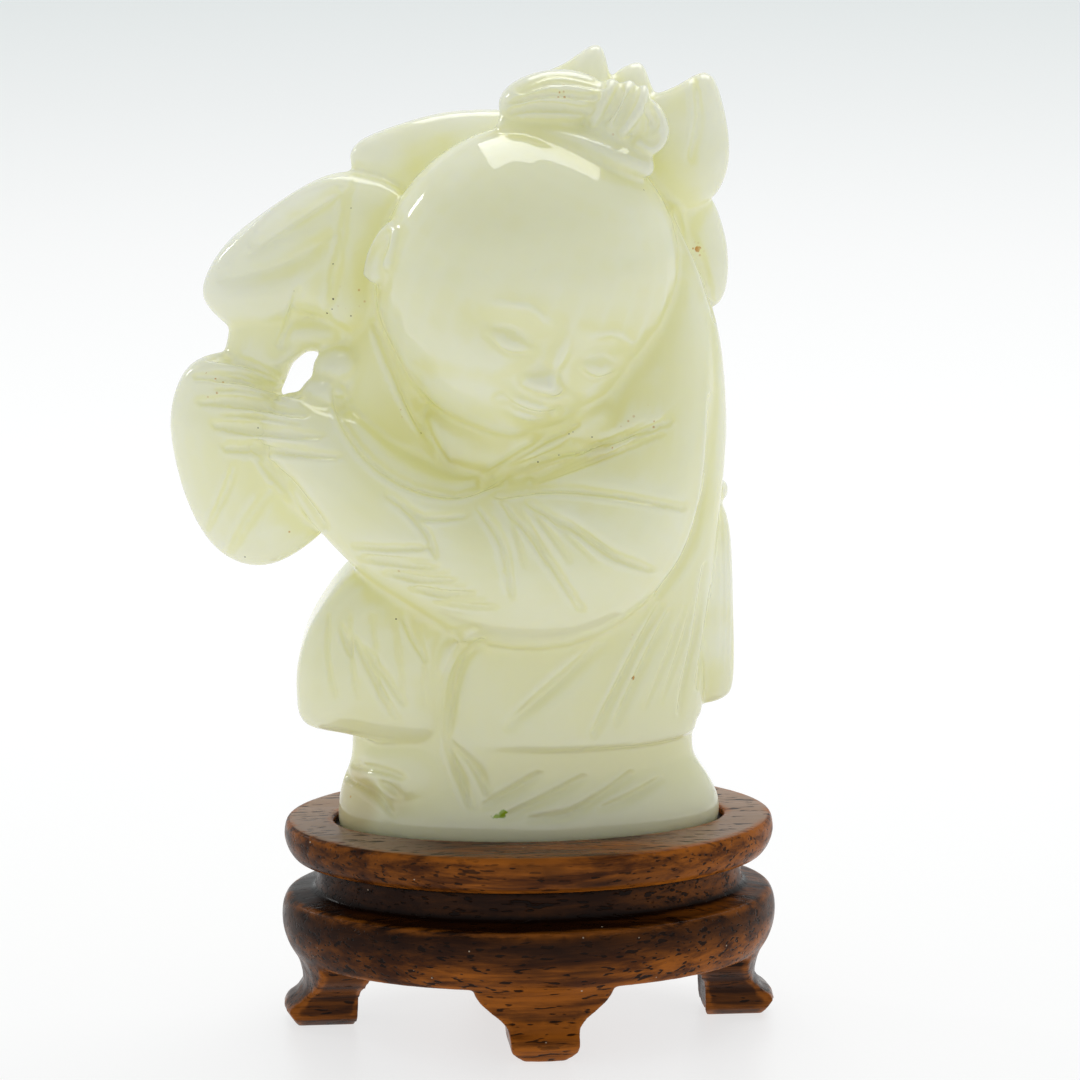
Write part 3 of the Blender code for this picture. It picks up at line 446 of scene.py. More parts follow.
def body_forms(forms):
    """The body in its long robe, the folded cloth under the chin and the bent knee on the viewer's left."""
    limb(forms, [
        (4, 0.8, 14, 18, 12), (4, 0.8, 26, 18.8, 12), (4.8, 0.8, 40, 19.2, 11.6), (5, 1, 50, 19.9, 10.8),
        (4.9, 1.4, 60, 19.4, 9.8), (4.6, 1.8, 67, 17.8, 8.6), (4, 2.4, 75, 14.6, 6.6),
    ], sides=40, round_ends=False)
    egg(forms, (-2, -3.4, 50.4), (14.6, 8, 7.4))
    egg(forms, (8.5, -4.4, 53.2), (9, 6.8, 6), tilt=-25)
    egg(forms, (-7.4, -4.4, 18), (4.6, 7.4, 11))
    egg(forms, (-12.6, -3.2, 8.4), (9.2, 8.4, 8.8))
    limb(forms, [
        (-0.2, 0, 12.6, 21.4, 13.1), (0, 0, 20, 21.8, 12.9), (0.6, 0.2, 28, 21.4, 12.6),
        (1.6, 0.4, 36, 20.6, 12),
    ], sides=48, round_ends=False)
    pad(forms, [
        (-21.8, 34.4), (-26.6, 28.6), (-28.8, 23.4), (-29.2, 18.6), (-28.2, 14.6), (-22.6, 13.2),
        (-16.3, 11.6), (-9.6, 11.4), (-8.4, 18), (-5.6, 25), (-8, 32), (-15, 35.6),
    ], depth=-2.6, thick=11.2, rim=0.42)


def leg_forms(forms):
    """The shins and feet under the robe's hem, that widen to the oval underside."""
    levels = [
        (0, 0, 1, 1), (0, 2.6, 1, 1.005), (-0.4, 5.4, 0.965, 0.965), (-0.8, 8.6, 0.9, 0.925),
        (-0.8, 11.6, 0.89, 0.96), (-0.6, 16, 0.89, 0.97),
    ]
    turn = Matrix.Rotation(-FIGURE_TURN, 4, "Z")
    rings = []
    for shift, height, length, depth in flowing(levels, 3):
        ring = []
        for k in range(48):
            angle = 2 * math.pi * k / 48
            x = shift + BASE_LENGTH / SHARE / 2 * length * math.cos(angle)
            y = BASE_DEPTH / SHARE / 2 * depth * math.sin(angle)
            ring.append(turn @ Vector((x, y, height)))
        rings.append(ring)
    skin(forms, rings)


def sash_forms(forms):
    """The sash round the back of the waist, its knot and its two hanging ends."""
    belt = []
    for degrees in range(20, 161, 20):
        angle = math.radians(degrees)
        belt.append((4.8 + 18.4 * math.cos(angle), 0.8 + 11 * math.sin(angle), 41.8, 2, 1.4))
    limb(forms, belt, sides=16)
    egg(forms, (23.2, 5.4, 42), (2.2, 2.6, 1.7))
    pad(forms, [
        (21, 41.5), (24.3, 40.4), (25.5, 36.6), (25.9, 28), (26, 18), (24.8, 15.4), (21.2, 15), (18.5, 20),
        (18, 32),
    ], depth=4.6, thick=3.8, rim=0.5)


def rough_figure():
    """All the figure's forms in one mesh, each closed and overlapping its neighbours."""
    forms = bmesh.new()
    for add in (head_forms, hair_forms, spray_forms, arm_forms, body_forms, leg_forms, sash_forms):
        add(forms)
    bmesh.ops.recalc_face_normals(forms, faces=forms.faces)
    mesh = bpy.data.meshes.new("figure")
    forms.to_mesh(mesh)
    forms.free()
    return mesh


# Carving. A cut is its half width, its depth (below zero stands proud) and the line it follows, in shares to
# the right and up as seen from the side it is carved from.
LEAF_CUTS = [
    (2.5, 1.3, [(-24.2, 78.8), (-27.2, 77.3), (-30.2, 75.4), (-33.8, 72.6)]),
    (0.9, -0.35, [(-23, 80.9), (-26.4, 80.1), (-29.9, 77.9), (-33.4, 75.5), (-36.6, 73)]),
    (4, 0.7, [(-37, 68.4), (-31.4, 70), (-26, 72.6)]),
    (1.2, 0.3, [(-22, 80.4), (-22.9, 77.4), (-23.4, 73.1), (-24.4, 68.2), (-25.1, 64)]),
    (1, 0.5, [(-28.8, 67), (-29.8, 63.5), (-31.2, 60)]),
    (0.9, 0.4, [(-36.9, 44.8), (-38.1, 41.8), (-40.3, 37.3)]),
    (1.6, 0.4, [(-32.1, 42.3), (-34.9, 38.5), (-37.9, 33.6)]),
    (1.5, 0.9, [(-34, 47.2), (-31.9, 44.2), (-29.5, 42), (-25.6, 37.6)]),
]
PLEATS = [
    (1.1, 0.75, [(-40.1, 58.5), (-36.8, 58.2), (-34, 57.4), (-30.4, 55.5)]),
    (1.1, 0.75, [(-41.6, 56.1), (-37.6, 55.9), (-33.9, 55.2), (-28.7, 53.7)]),
    (1.1, 0.75, [(-40.8, 52.9), (-37.3, 52.9), (-33.6, 52.5), (-27.9, 51.2)]),
    (1.1, 0.75, [(-39.1, 50), (-36.3, 49.6), (-32.1, 49.1), (-26, 48.6)]),
    (1.1, 0.75, [(-37.9, 47.2), (-34.6, 47), (-29.7, 46.6), (-23.8, 46)]),
]
SLEEVE_CUTS = [
    (1.5, 0.8, [(-24.3, 54.3), (-22.7, 50), (-19.4, 45.7), (-14.7, 42.7), (-9.1, 41.5), (-3.6, 42.9)]),
    (1.4, 0.8, [(-19.1, 62.6), (-16.9, 57.4), (-14.2, 51.6), (-10.9, 45.9)]),
    (1.3, 0.7, [(-5.5, 43.2), (0.8, 47.4), (5.6, 50.4)]),
    (1.2, 0.7, [(-8, 41.6), (0.2, 45.4), (10.6, 48.6), (17.2, 50.2)]),
    (1.2, 0.7, [(-3.9, 41.2), (2, 42.1), (8.8, 41.6), (19.1, 39.7)]),
    (1.2, 0.8, [(0.2, 40.2), (6.4, 36.6), (10.3, 33.9), (15, 32.1)]),
    (1.1, 0.7, [(-3.2, 40.5), (1.4, 34.8), (6.3, 27.3)]),
    (1.1, 0.6, [(-6.1, 39.7), (-3.3, 35.2), (-2.2, 29.1)]),
    (1, 0.6, [(-17.4, 41.2), (-14.4, 39.3), (-12.2, 38.5), (-8, 38.7)]),
    (1, 0.6, [(-15.4, 39.6), (-12.8, 37), (-11.6, 33.8)]),
    (0.8, 0.5, [(-21.6, 34.9), (-16.9, 34.6), (-12.2, 34.8)]),
    (0.8, 0.5, [(-20.9, 33.3), (-16.4, 32.8), (-12, 32.2)]),
    (0.8, 0.5, [(-17.8, 31.6), (-14, 30.9), (-9.6, 30.6)]),
    (0.8, 0.5, [(-14.6, 29.7), (-11, 29), (-7, 28.8)]),
    (0.8, 0.4, [(-11.6, 28.2), (-8, 27.6), (-4.2, 27.4)]),
    (1.2, 0.7, [(22.7, 53.6), (22.6, 47.4), (21.8, 40.5), (19.8, 34.2), (16.1, 29)]),
]
ROBE_CUTS = [
    (1.3, 0.8, [(-6, 23.2), (-8.4, 20.6), (-9.6, 16.6), (-10.3, 11)]),
    (1.7, -0.6, [(-7, 24.2), (-9.6, 22.6), (-10.9, 19.4)]),
    (1, 0.6, [(-23.3, 24.8), (-22.3, 21.6)]),
    (1, 0.7, [(-21.6, 23.3), (-19.3, 18.6), (-16.8, 13.7)]),
    (1, 0.6, [(-20.3, 22.3), (-18, 18.8), (-15.7, 15.3)]),
    (1, 0.5, [(-15.5, 26.1), (-14.3, 23.3), (-12.9, 20.8)]),
    (1.7, 0.7, [(8.6, 22.6), (3.6, 18), (-2.2, 13.1)]),
    (1.2, 0.7, [(16.3, 27.5), (12.3, 19.8), (8.1, 11.7)]),
    (1.1, 0.6, [(17.6, 26.8), (14.3, 20.2), (10.9, 13.3)]),
    (1.1, 0.6, [(22.1, 32.5), (20.9, 23.3), (18.9, 14)]),
    (0.9, 0.5, [(23, 28.2), (22.4, 23.2), (21.4, 17.1)]),
]
FOOT_CUTS = [
    (1.2, 0.9, [(-10.3, 10.3), (-9.1, 7), (-7.4, 2.5)]),
    (1.1, 0.7, [(-9.6, 10.3), (-6.4, 6.4), (-4.9, 3.3)]),
    (1.2, 0.8, [(1.1, 6.4), (-2.1, 4.4), (-5.6, 2.6)]),
    (1.2, 0.8, [(6.8, 6), (1.9, 3.3), (-3.2, 1)]),
    (1.2, 0.8, [(12.8, 6.4), (8.9, 3.6), (4.9, 1.5), (-0.1, 0.9)]),
    (1.1, 0.7, [(16.4, 5.6), (12.9, 3.6), (8.9, 2.1)]),
    (1, 0.7, [(-22.1, 7.3), (-19.1, 6.8), (-15.8, 5.9)]),
    (1, 0.6, [(-18.6, 5.2), (-16.4, 3.8)]),
    (1, 0.8, [(-23.8, 6.2), (-19.7, 3.9), (-17.3, 1.4)]),
]
HAIR_CUTS = [
    (0.9, 0.55, [(-2.4, 88.6), (1.6, 88.9), (7.6, 88.4)]),
    (0.9, 0.55, [(-2.6, 89.6), (2, 90.6), (8.4, 90)]),
    (0.8, 0.5, [(-1.2, 91), (3.4, 92.2), (9.2, 91.4)]),
    (0.8, 0.5, [(14.4, 88.6), (15.3, 87), (14.6, 85.8)]),
    (1.2, 0.6, [(20.6, 93.1), (21, 88.2), (20.1, 83.3)]),
    (1.2, 0.7, [(18.3, 76.4), (21.3, 70.7), (22.9, 66), (23.5, 63.3)]),
]
FACE_CUTS = [
    (0.7, 0.45, [(-9.3, -3.3), (-6.4, -4.2), (-3.5, -3.5)]),
    (0.7, 0.45, [(9.3, -3.3), (6.4, -4.2), (3.5, -3.5)]),
    (0.6, 0.25, [(-9, -2), (-6.4, -1.3), (-3.8, -2.3)]),
    (0.6, 0.25, [(9, -2), (6.4, -1.3), (3.8, -2.3)]),
    (1, -0.35, [(-9.8, 0.9), (-6.4, 2.1), (-2.8, 1.2)]),
    (1, -0.35, [(9.8, 0.9), (6.4, 2.1), (2.8, 1.2)]),
    (0.7, 0.55, [(-3.4, -10.3), (0, -10.8), (3.4, -10.3)]),
]

# The face's soft forms at the usual places of a child's face, as (across, up, half width, half height, rise)
# in the head's own directions. Each that lies off the middle has its twin on the other side.
FACE_SWELLS = [
    (8.4, -7.6, 5.4, 4.8, 1.5),
    (6.4, -2, 3.6, 2.2, -0.9),
    (6.4, -3, 2.5, 1.3, 1),
    (0, -3, 1.4, 3, 0.9),
    (0, -6.4, 1.8, 1.5, 2.3),
    (1.8, -6.9, 1.1, 0.9, 1),
    (0, -10.2, 3.6, 2.4, 0.9),
    (1, -9.8, 1.2, 0.6, 0.5),
    (0, -11.5, 1.7, 0.7, 0.6),
    (3.9, -10.3, 0.8, 0.8, -0.4),
    (0, -15, 3.6, 2.2, 1.2),
]

BACK_CUTS = [
    (1.3, 0.8, [(-9, 38), (-5, 28), (-3, 15)]),
    (1.3, 0.8, [(0, 38), (2, 27), (3, 14)]),
    (1.3, 0.8, [(9, 38), (9, 28), (10, 15)]),
    (1.3, 0.7, [(14, 36), (17, 27), (18, 16)]),
    (1.2, 0.7, [(-6, 60), (-2, 52), (0, 45)]),
    (1.2, 0.7, [(8, 60), (5, 52), (4, 45)]),
    (1.1, 0.6, [(-23.5, 24), (-22, 32), (-21.8, 39)]),
    (1.2, 0.7, [(24, 70), (30, 71), (38, 69)]),
    (1.2, 0.7, [(26, 74), (31, 77)]),
    (1.2, 0.7, [(28, 50), (34, 49), (41, 51)]),
    (1.2, 0.7, [(29, 46), (34, 42), (38, 39)]),
]

# Fans of finer cuts, as how many, the half width, the depth and the fan's first and last line
HAIR_FANS = [
    (8, 0.55, 0.34, [(-2.4, 88), (1.2, 88.2), (7, 88)], [(-1.6, 91.6), (3.4, 93.4), (9.2, 92.2)]),
    (2, 0.5, 0.4, [(9.2, 87.6), (10.4, 89.4), (11.2, 91.4)], [(11, 86.6), (12, 88.4), (13, 90.6)]),
    (2, 0.5, 0.3, [(14, 86.6), (14.8, 87.6), (14.2, 89.2)], [(15.6, 85.6), (16.4, 87.4), (15.4, 89.4)]),
]
FOLD_FANS = [
    (9, 0.45, 0.28, [(-39.6, 57.2), (-35.6, 57), (-31.2, 55.4)], [(-37.4, 47.6), (-33, 47.4), (-27, 46.8)]),
    (4, 0.55, 0.34, [(0.4, 43.8), (7, 47.4), (14, 51)], [(0.8, 42.6), (8, 45.2), (17, 48.6)]),
    (7, 0.5, 0.3, [(-21, 34.2), (-16.8, 33.8), (-12.6, 33.6)], [(-12, 28.8), (-8.6, 28), (-5, 28)]),
    (5, 0.55, 0.28, [(-3.6, 40), (-2.6, 36.4), (-2, 32.4)], [(5, 38.2), (8.4, 36), (12, 33.8)]),
    (4, 0.5, 0.26, [(19, 27), (16.6, 21), (13.4, 14.4)], [(23.6, 30.4), (23, 24), (22, 17.4)]),
    (3, 0.5, 0.3, [(24, 38), (24.4, 28), (24, 19)], [(26, 38), (26.4, 28), (26.2, 19)]),
    (5, 0.5, 0.2, [(-26.4, 26.4), (-26.6, 21), (-25.6, 16.6)], [(-12.6, 26), (-11.6, 21), (-11.4, 15)]),
]


def seen_from(turn=0.0, rise=0.0):
    """The right, up and outward directions of a carver turned round the figure and raised by degrees."""
    view = Matrix.Rotation(math.radians(turn), 3, "Z") @ Matrix.Rotation(math.radians(-rise), 3, "X")
    return view @ Vector((1, 0, 0)), view @ Vector((0, 0, 1)), view @ Vector((0, -1, 0))


def swell(points, normals, swells, view, origin, reach):
    """Moves the points within reach of the origin out towards the viewer, where each of the swells rises."""
    right, up, outward = (np.array(axis) for axis in view)
    from_origin = points - np.array(origin)
    across, height = from_origin @ right, from_origin @ up
    rise = np.zeros(len(points))
    for x, z, half_width, half_height, much in swells:
        for place in {x, -x}:
            rise += much * np.exp(-(((across - place) / half_width) ** 2) - ((height - z) / half_height) ** 2)
    rise *= np.clip((normals @ outward - 0.1) / 0.3, 0, 1)
    rise[np.linalg.norm(from_origin, axis=1) > reach] = 0
    return points + rise[:, None] * outward


def baked(thing):
    """The mesh of an object with its modifiers applied."""
    bpy.context.view_layer.update()
    graph = bpy.context.evaluated_depsgraph_get()
    return bpy.data.meshes.new_from_object(thing.evaluated_get(graph))


def oval(length, depth, height, inset=0.0, steps=RIM_STEPS):
    ring = []
    for k in range(steps):
        angle = 2 * math.pi * k / steps
        x = (length / 2 - inset) * math.cos(angle)
        y = (depth / 2 - inset) * math.sin(angle)
        ring.append(Vector((x, y, height)))
    return ring


def ring_object(name, rings, collection):
    """A closed object skinned over the rings."""
    block = bmesh.new()
    skin(block, rings)
    bmesh.ops.recalc_face_normals(block, faces=block.faces)
    mesh = bpy.data.meshes.new(name)
    block.to_mesh(mesh)
    block.free()
    return new_object(name, mesh, collection)


def slab(name, outline, thick, collection):
    """A flat plate of the outline in x and z, thick along y and centred on it."""
    rings = [[Vector((x, y, z)) for x, z in outline] for y in (-thick / 2, thick / 2)]
    return ring_object(name, rings, collection)


def bent_to_oval(foot, length, depth):
    """Cuts the foot into upright strips and sets each back, so that its show side follows the oval."""
    strips = bmesh.new()
    strips.from_mesh(foot.data)
    for k in range(-2, 3):
        parts = strips.verts[:] + strips.edges[:] + strips.faces[:]
        place = (k * FOOT_WIDTH / 6, 0, 0)
        bmesh.ops.bisect_plane(strips, geom=parts, plane_co=place, plane_no=(1, 0, 0), dist=1e-7)
    for corner in strips.verts:
        corner.co.y += depth / 2 * (1 - math.sqrt(1 - (2 * corner.co.x / length) ** 2))
    bmesh.ops.triangulate(strips, faces=strips.faces)
    strips.to_mesh(foot.data)
    strips.free()


def join_by(tool, target, operation):
    cut = target.modifiers.new(operation.lower(), "BOOLEAN")
    cut.operation = operation
    cut.solver = "EXACT"
    cut.object = tool
    target.data = baked(target)
    target.modifiers.clear()
    bpy.data.objects.remove(tool)


def stand_foot(collection):
    """One bracket foot at the origin, its show side towards -Y, its top inside the band."""
    top = FOOT_HEIGHT + 0.35 * BAND_HEIGHT
    half = ANKLE_WIDTH / 2
    bracket = [(0.5, 1.0), (0.48, 0.88), (0.44, 0.77), (0.38, 0.66), (0.31, 0.55), (0.26, 0.46)]
    edge = [(FOOT_WIDTH / 2, top)] + [(FOOT_WIDTH * x, FOOT_HEIGHT * z) for x, z in bracket]
    edge += [(half, 0.36 * FOOT_HEIGHT), (0.96 * half, 0.14 * FOOT_HEIGHT), (0.6 * half, 0)]
    face = edge + [(-x, z) for x, z in reversed(edge)]
    foot = slab("foot", face, STAND_LENGTH, collection)
    neck = ANKLE_THICK
    toe = ANKLE_THICK + TOE_REACH
    flank = [
        (0, top), (0, 0), (toe - TOE_CHAMFER, 0), (toe, 0.75 * TOE_HEIGHT),
        (toe - 0.15 * TOE_REACH, TOE_HEIGHT),
        (neck + 0.35 * TOE_REACH, 1.3 * TOE_HEIGHT), (neck, 0.56 * FOOT_HEIGHT), (neck, 0.7 * FOOT_HEIGHT),
        (neck + 0.14 * TOE_REACH, 0.86 * FOOT_HEIGHT), (neck + 0.36 * TOE_REACH, FOOT_HEIGHT),
        (neck + 0.36 * TOE_REACH, top),
    ]
    outline = slab("flank", flank, STAND_LENGTH, collection)
    outline.data.transform(Matrix.Rotation(math.radians(-90), 4, "Z"))
    join_by(outline, foot, "INTERSECT")
    foot.data.transform(Matrix.Translation((0, toe, 0)))
    return foot


# The fine carving


def fan(count, half_width, depth, first, last):
    """Cuts spaced evenly from one line to another, both with as many points."""
    first, last = np.array(first), np.array(last)
    lines = [first + (last - first) * (k + 0.5) / count for k in range(count)]
    return [(half_width, depth, [tuple(point) for point in line]) for line in lines]


def mesh_arrays(mesh):
    """The mesh's points, normals and edges as arrays."""
    points = np.empty(len(mesh.vertices) * 3)
    mesh.vertices.foreach_get("co", points)
    normals = np.empty(len(mesh.vertices) * 3)
    mesh.vertex_normals.foreach_get("vector", normals)
    edges = np.empty(len(mesh.edges) * 2, dtype=np.int64)
    mesh.edges.foreach_get("vertices", edges)
    return points.reshape(-1, 3), normals.reshape(-1, 3), edges.reshape(-1, 2)


def set_points(mesh, points):
    mesh.vertices.foreach_set("co", points.ravel())
    mesh.update()


def relaxed(values, edges, passes):
    """The values at the points, each drawn halfway to its neighbours' mean as often as passes says."""
    flat = values.reshape(len(values), -1).astype(float)
    count = np.bincount(edges.ravel(), minlength=len(flat))[:, None]
    for _ in range(passes):
        total = np.empty_like(flat)
        for k in range(flat.shape[1]):
            column = flat[:, k]
            total[:, k] = np.bincount(edges[:, 0], column[edges[:, 1]], len(flat))
            total[:, k] += np.bincount(edges[:, 1], column[edges[:, 0]], len(flat))
        flat = flat + 0.5 * (total / count - flat)
    return flat.reshape(values.shape)


def carve(mesh, cuts, view, origin=(0.0, 0.0, 0.0), reach=math.inf, crisp=0.0, deeper=1.0):
    """Moves the points that face the carver in along their normals, deepest on each cut's line.

    A crisp cut is steep on the right-hand side of its line, with a small lip, and slopes gently on the left.
    Returns how much of a groove each point is in, from 0 to 1.
    """
    points, normals, edges = mesh_arrays(mesh)
    right, up, outward = (np.array(axis) for axis in view)
    from_origin = points - np.array(origin)
    seen = np.stack([from_origin @ right, from_origin @ up], axis=1)
    open_to_view = (normals @ outward > 0.12) & (np.linalg.norm(from_origin, axis=1) < reach)
    push = np.zeros(len(points))
    for half_width, depth, line in cuts:
        path = flowing(line, 6)
        near = open_to_view.copy()
        for side in (0, 1):
            near &= seen[:, side] > path[:, side].min() - 1.5 * half_width
            near &= seen[:, side] < path[:, side].max() + 1.5 * half_width
        chosen = np.flatnonzero(near)
        apart = np.full(len(chosen), np.inf)
        share = np.zeros(len(chosen))
        steep = np.zeros(len(chosen), bool)
        for k, (start, end) in enumerate(zip(path, path[1:])):
            step = end - start
            offset = seen[chosen] - start
            t = np.clip(offset @ step / (step @ step), 0, 1)
            distance = np.linalg.norm(offset - t[:, None] * step, axis=1)
            closer = distance < apart
            apart[closer] = distance[closer]
            share[closer] = (k + t[closer]) / (len(path) - 1)
            steep[closer] = (step[0] * offset[:, 1] - step[1] * offset[:, 0] < 0)[closer]
        fade = np.sqrt(np.clip(np.sin(np.pi * (0.06 + 0.88 * share)), 0, 1))
        width = half_width * (1 - 0.5 * crisp * (1 - fade))
        width *= np.where(steep, 1 - 0.4 * crisp, 1 + 0.35 * crisp)
        across = np.clip(1 - apart / width, 0, 1)
        slope = across ** np.where(steep, 1.5 - 0.5 * crisp, 1.5) * (0.5 + 0.5 * across)
        lip = 0.18 * crisp * steep * np.exp(-(((apart / width - 1.3) / 0.4) ** 2))
        push[chosen] += deeper * depth * fade * (slope - lip)
    set_points(mesh, points - normals * push[:, None])
    return np.clip(push / 0.5, 0, 1)


def add_values(mesh, name, values):
    mesh.attributes.new(name, "FLOAT", "POINT").data.foreach_set("value", np.asarray(values, np.float32))


def modified(thing, kind, **settings):
    """The mesh of the object with one modifier of the kind applied."""
    tool = thing.modifiers.new(kind.lower(), kind)
    for name, value in settings.items():
        setattr(tool, name, value)
    mesh = baked(thing)
    thing.modifiers.clear()
    return mesh


def thinned(thing, faces):
    """The object's mesh of squares with about as many triangles as faces says."""
    ratio = faces / (2 * len(thing.data.polygons))
    return modified(thing, "DECIMATE", ratio=ratio, use_collapse_triangulate=True)


def add_hollows(mesh, name, passes, size):
    """Adds a layer of how far each point lies below its surroundings, from -1 on a ridge to 1 in a hollow."""
    points, normals, edges = mesh_arrays(mesh)
    below = ((relaxed(points, edges, passes) - points) * normals).sum(axis=1)
    add_values(mesh, name, np.clip(relaxed(below, edges, 2) / size, -1, 1))


def jade_mesh(collection):
    rough = new_object("jade_rough", rough_figure(), collection)
    rough.data = modified(rough, "REMESH", mode="VOXEL", voxel_size=STONE_GRAIN / SHARE)
    mesh = rough.data
    points, normals, edges = mesh_arrays(mesh)
    set_points(mesh, relaxed(points, edges, STONE_POLISH))
    groove = np.zeros(len(points))
    front = seen_from(rise=CARVING_RISE)
    for cuts in (LEAF_CUTS, PLEATS, SLEEVE_CUTS, ROBE_CUTS, FOOT_CUTS, HAIR_CUTS):
        groove = np.maximum(groove, carve(mesh, cuts, front, crisp=1.0, deeper=CUT_DEEPER))
    back = seen_from(turn=180)
    groove = np.maximum(groove, carve(mesh, BACK_CUTS, back, crisp=0.8, deeper=BACK_CUT_DEEPER))
    for fans in (HAIR_FANS, FOLD_FANS):
        cuts = [cut for lines in fans for cut in fan(*lines)]
        groove = np.maximum(groove, carve(mesh, cuts, front, crisp=0.6, deeper=FINE_CUT_DEEPER))
    face = tuple(HEAD.to_3x3() @ axis for axis in seen_from())
    groove = np.maximum(groove, 0.5 * carve(mesh, FACE_CUTS, face, HEAD_MIDDLE, HEAD_REACH))
    points, normals, edges = mesh_arrays(mesh)
    set_points(mesh, swell(points, normals, FACE_SWELLS, face, HEAD_MIDDLE, HEAD_REACH))
    points, normals, edges = mesh_arrays(mesh)
    points = relaxed(points, edges, 2)
    points[:, 2] = np.where(points[:, 2] < BASE_FLAT, 0.0, points[:, 2])
    set_points(mesh, points)
    add_values(mesh, "groove", relaxed(groove, edges, 1))
    mesh.transform(Matrix.Rotation(FIGURE_TURN, 4, "Z") @ Matrix.Scale(SHARE, 4))
    mesh = thinned(rough, STONE_FACES)
    bpy.data.objects.remove(rough)
    mesh.transform(Matrix.Translation(STAND_MIDDLE + Vector((0, 0, FIGURE_FLOOR))))
    mesh.shade_smooth()
    # The hollow layer places the painted highlights in the cuts and on the ridges
    add_hollows(mesh, "hollow", 24, 0.10 * MM)
    # The deep layer places the painted shade of broad hollows
    add_hollows(mesh, "deep", 800, 1.2 * MM)
    return mesh


# The fine stand


def stand_profile():
    """The stand's turned outline from the underside up to the seat, as (inset, height)."""
    swell = EDGE_INSET
    band = [
        (1.25 * swell, FOOT_HEIGHT),
        (0.6 * swell, FOOT_HEIGHT + 0.18 * BAND_HEIGHT),
        (0.15 * swell, FOOT_HEIGHT + 0.4 * BAND_HEIGHT),
        (0, FOOT_HEIGHT + 0.62 * BAND_HEIGHT),
        (0.1 * swell, FOOT_HEIGHT + 0.8 * BAND_HEIGHT),
        (0.4 * swell, FOOT_HEIGHT + 0.94 * BAND_HEIGHT),
        (0.7 * swell, BAND_TOP),
    ]
    waist = [
        (WAIST_INSET, BAND_TOP + 0.12 * WAIST_HEIGHT),
        (1.07 * WAIST_INSET, BAND_TOP + 0.5 * WAIST_HEIGHT),
        (WAIST_INSET, WAIST_TOP - 0.05 * WAIST_HEIGHT),
    ]
    plate = [
        (PLATE_INSET + swell, WAIST_TOP),
        (PLATE_INSET + 0.4 * swell, WAIST_TOP + 0.22 * PLATE_THICK),
        (PLATE_INSET, WAIST_TOP + 0.55 * PLATE_THICK),
        (PLATE_INSET + 0.1 * swell, WAIST_TOP + 0.84 * PLATE_THICK),
        (PLATE_INSET + 0.25 * swell, STAND_HEIGHT - 0.05 * PLATE_THICK),
        (PLATE_INSET + 0.42 * swell, STAND_HEIGHT),
    ]
    return np.vstack([flowing(part, 5) for part in (band, waist, plate)])


def stand_block(collection):
    rings = [oval(STAND_LENGTH, STAND_DEPTH, height, inset) for inset, height in stand_profile()]
    seat = (BASE_LENGTH + 2 * SEAT_GAP, BASE_DEPTH + 2 * SEAT_GAP)
    rings.append(oval(*seat, STAND_HEIGHT))
    rings.append(oval(*seat, STAND_HEIGHT - POCKET_DEPTH))
    return ring_object("wood_rough", rings, collection)


def wood_mesh(collection):
    stand = stand_block(collection)
    for quarter in range(4):
        ahead = quarter % 2 == 0
        length, depth = (STAND_LENGTH, STAND_DEPTH) if ahead else (STAND_DEPTH, STAND_LENGTH)
        foot = stand_foot(collection)
        bent_to_oval(foot, length, depth)
        place = Matrix.Rotation(math.radians(90 * quarter), 4, "Z") @ Matrix.Translation((0, -depth / 2, 0))
        foot.data.transform(place)
        join_by(foot, stand, "UNION")
    stand.data = modified(stand, "REMESH", mode="VOXEL", voxel_size=WOOD_GRAIN)
    mesh = stand.data
    points, normals, edges = mesh_arrays(mesh)
    set_points(mesh, relaxed(points, edges, WOOD_POLISH))
    mesh = thinned(stand, WOOD_FACES)
    bpy.data.objects.remove(stand)
    mesh.transform(Matrix.Translation(STAND_MIDDLE))
    mesh.shade_smooth()
    # The hollow layer places the painted shade in creases and the rubbed ridges
    add_hollows(mesh, "hollow", 16, 0.08 * MM)
    return mesh


# Marks and painted light on the stone


def photo_view():
    """What the photograph looks at, and the direction from there back to the camera."""
    aim = STAND_MIDDLE + Matrix.Rotation(PHOTO_SIDE, 3, "Z") @ Vector(PHOTO_AIM)
    level = math.cos(PHOTO_RISE)
    back = Vector((math.sin(PHOTO_SIDE) * level, -math.cos(PHOTO_SIDE) * level, math.sin(PHOTO_RISE)))
    return aim, back


def photo_way(pixel):
    """The camera's place and the direction from there through a pixel of the photograph."""
    aim, back = photo_view()
    forward = -back
    right = forward.cross(Vector((0, 0, 1))).normalized()
    up = right.cross(forward)
    pixel_size = PHOTO_SENSOR / PHOTO_LENS / PHOTO_PIXELS
    across = (pixel[0] - PHOTO_PIXELS / 2) * pixel_size
    above = (PHOTO_PIXELS / 2 - pixel[1]) * pixel_size
    return aim + back * PHOTO_DISTANCE, (forward + right * across + up * above).normalized()


def places_on(mesh, pixels):
    """Where the stone shows at each of the photograph's pixels."""
    points = [corner.co for corner in mesh.vertices]
    surface = BVHTree.FromPolygons(points, [tuple(face.vertices) for face in mesh.polygons])
    hits = [surface.ray_cast(*photo_way(pixel))[0] for pixel in pixels]
    return [hit for hit in hits if hit is not None]


def add_patches(mesh, name, patches):
    """Adds a layer with a soft spot for each of the patches: marks, painted shade and painted sheen."""
    points, normals, edges = mesh_arrays(mesh)
    depth = np.zeros(len(points))
    places = places_on(mesh, [patch[:2] for patch in patches])
    for place, (across, down, radius, strength) in zip(places, patches):
        apart = np.linalg.norm(points - np.array(place), axis=1) / (radius * MM)
        depth = np.maximum(depth, strength * np.exp(-(apart**2)))
    add_values(mesh, name, depth)


# Finishes


def add_node(tree, kind, inputs=None, **settings):
    node = tree.nodes.new("ShaderNode" + kind)
    for name, value in settings.items():
        setattr(node, name, value)
    for name, value in (inputs or {}).items():
        if isinstance(value, bpy.types.NodeSocket):
            tree.links.new(value, node.inputs[name])
        else:
            node.inputs[name].default_value = value
    return node


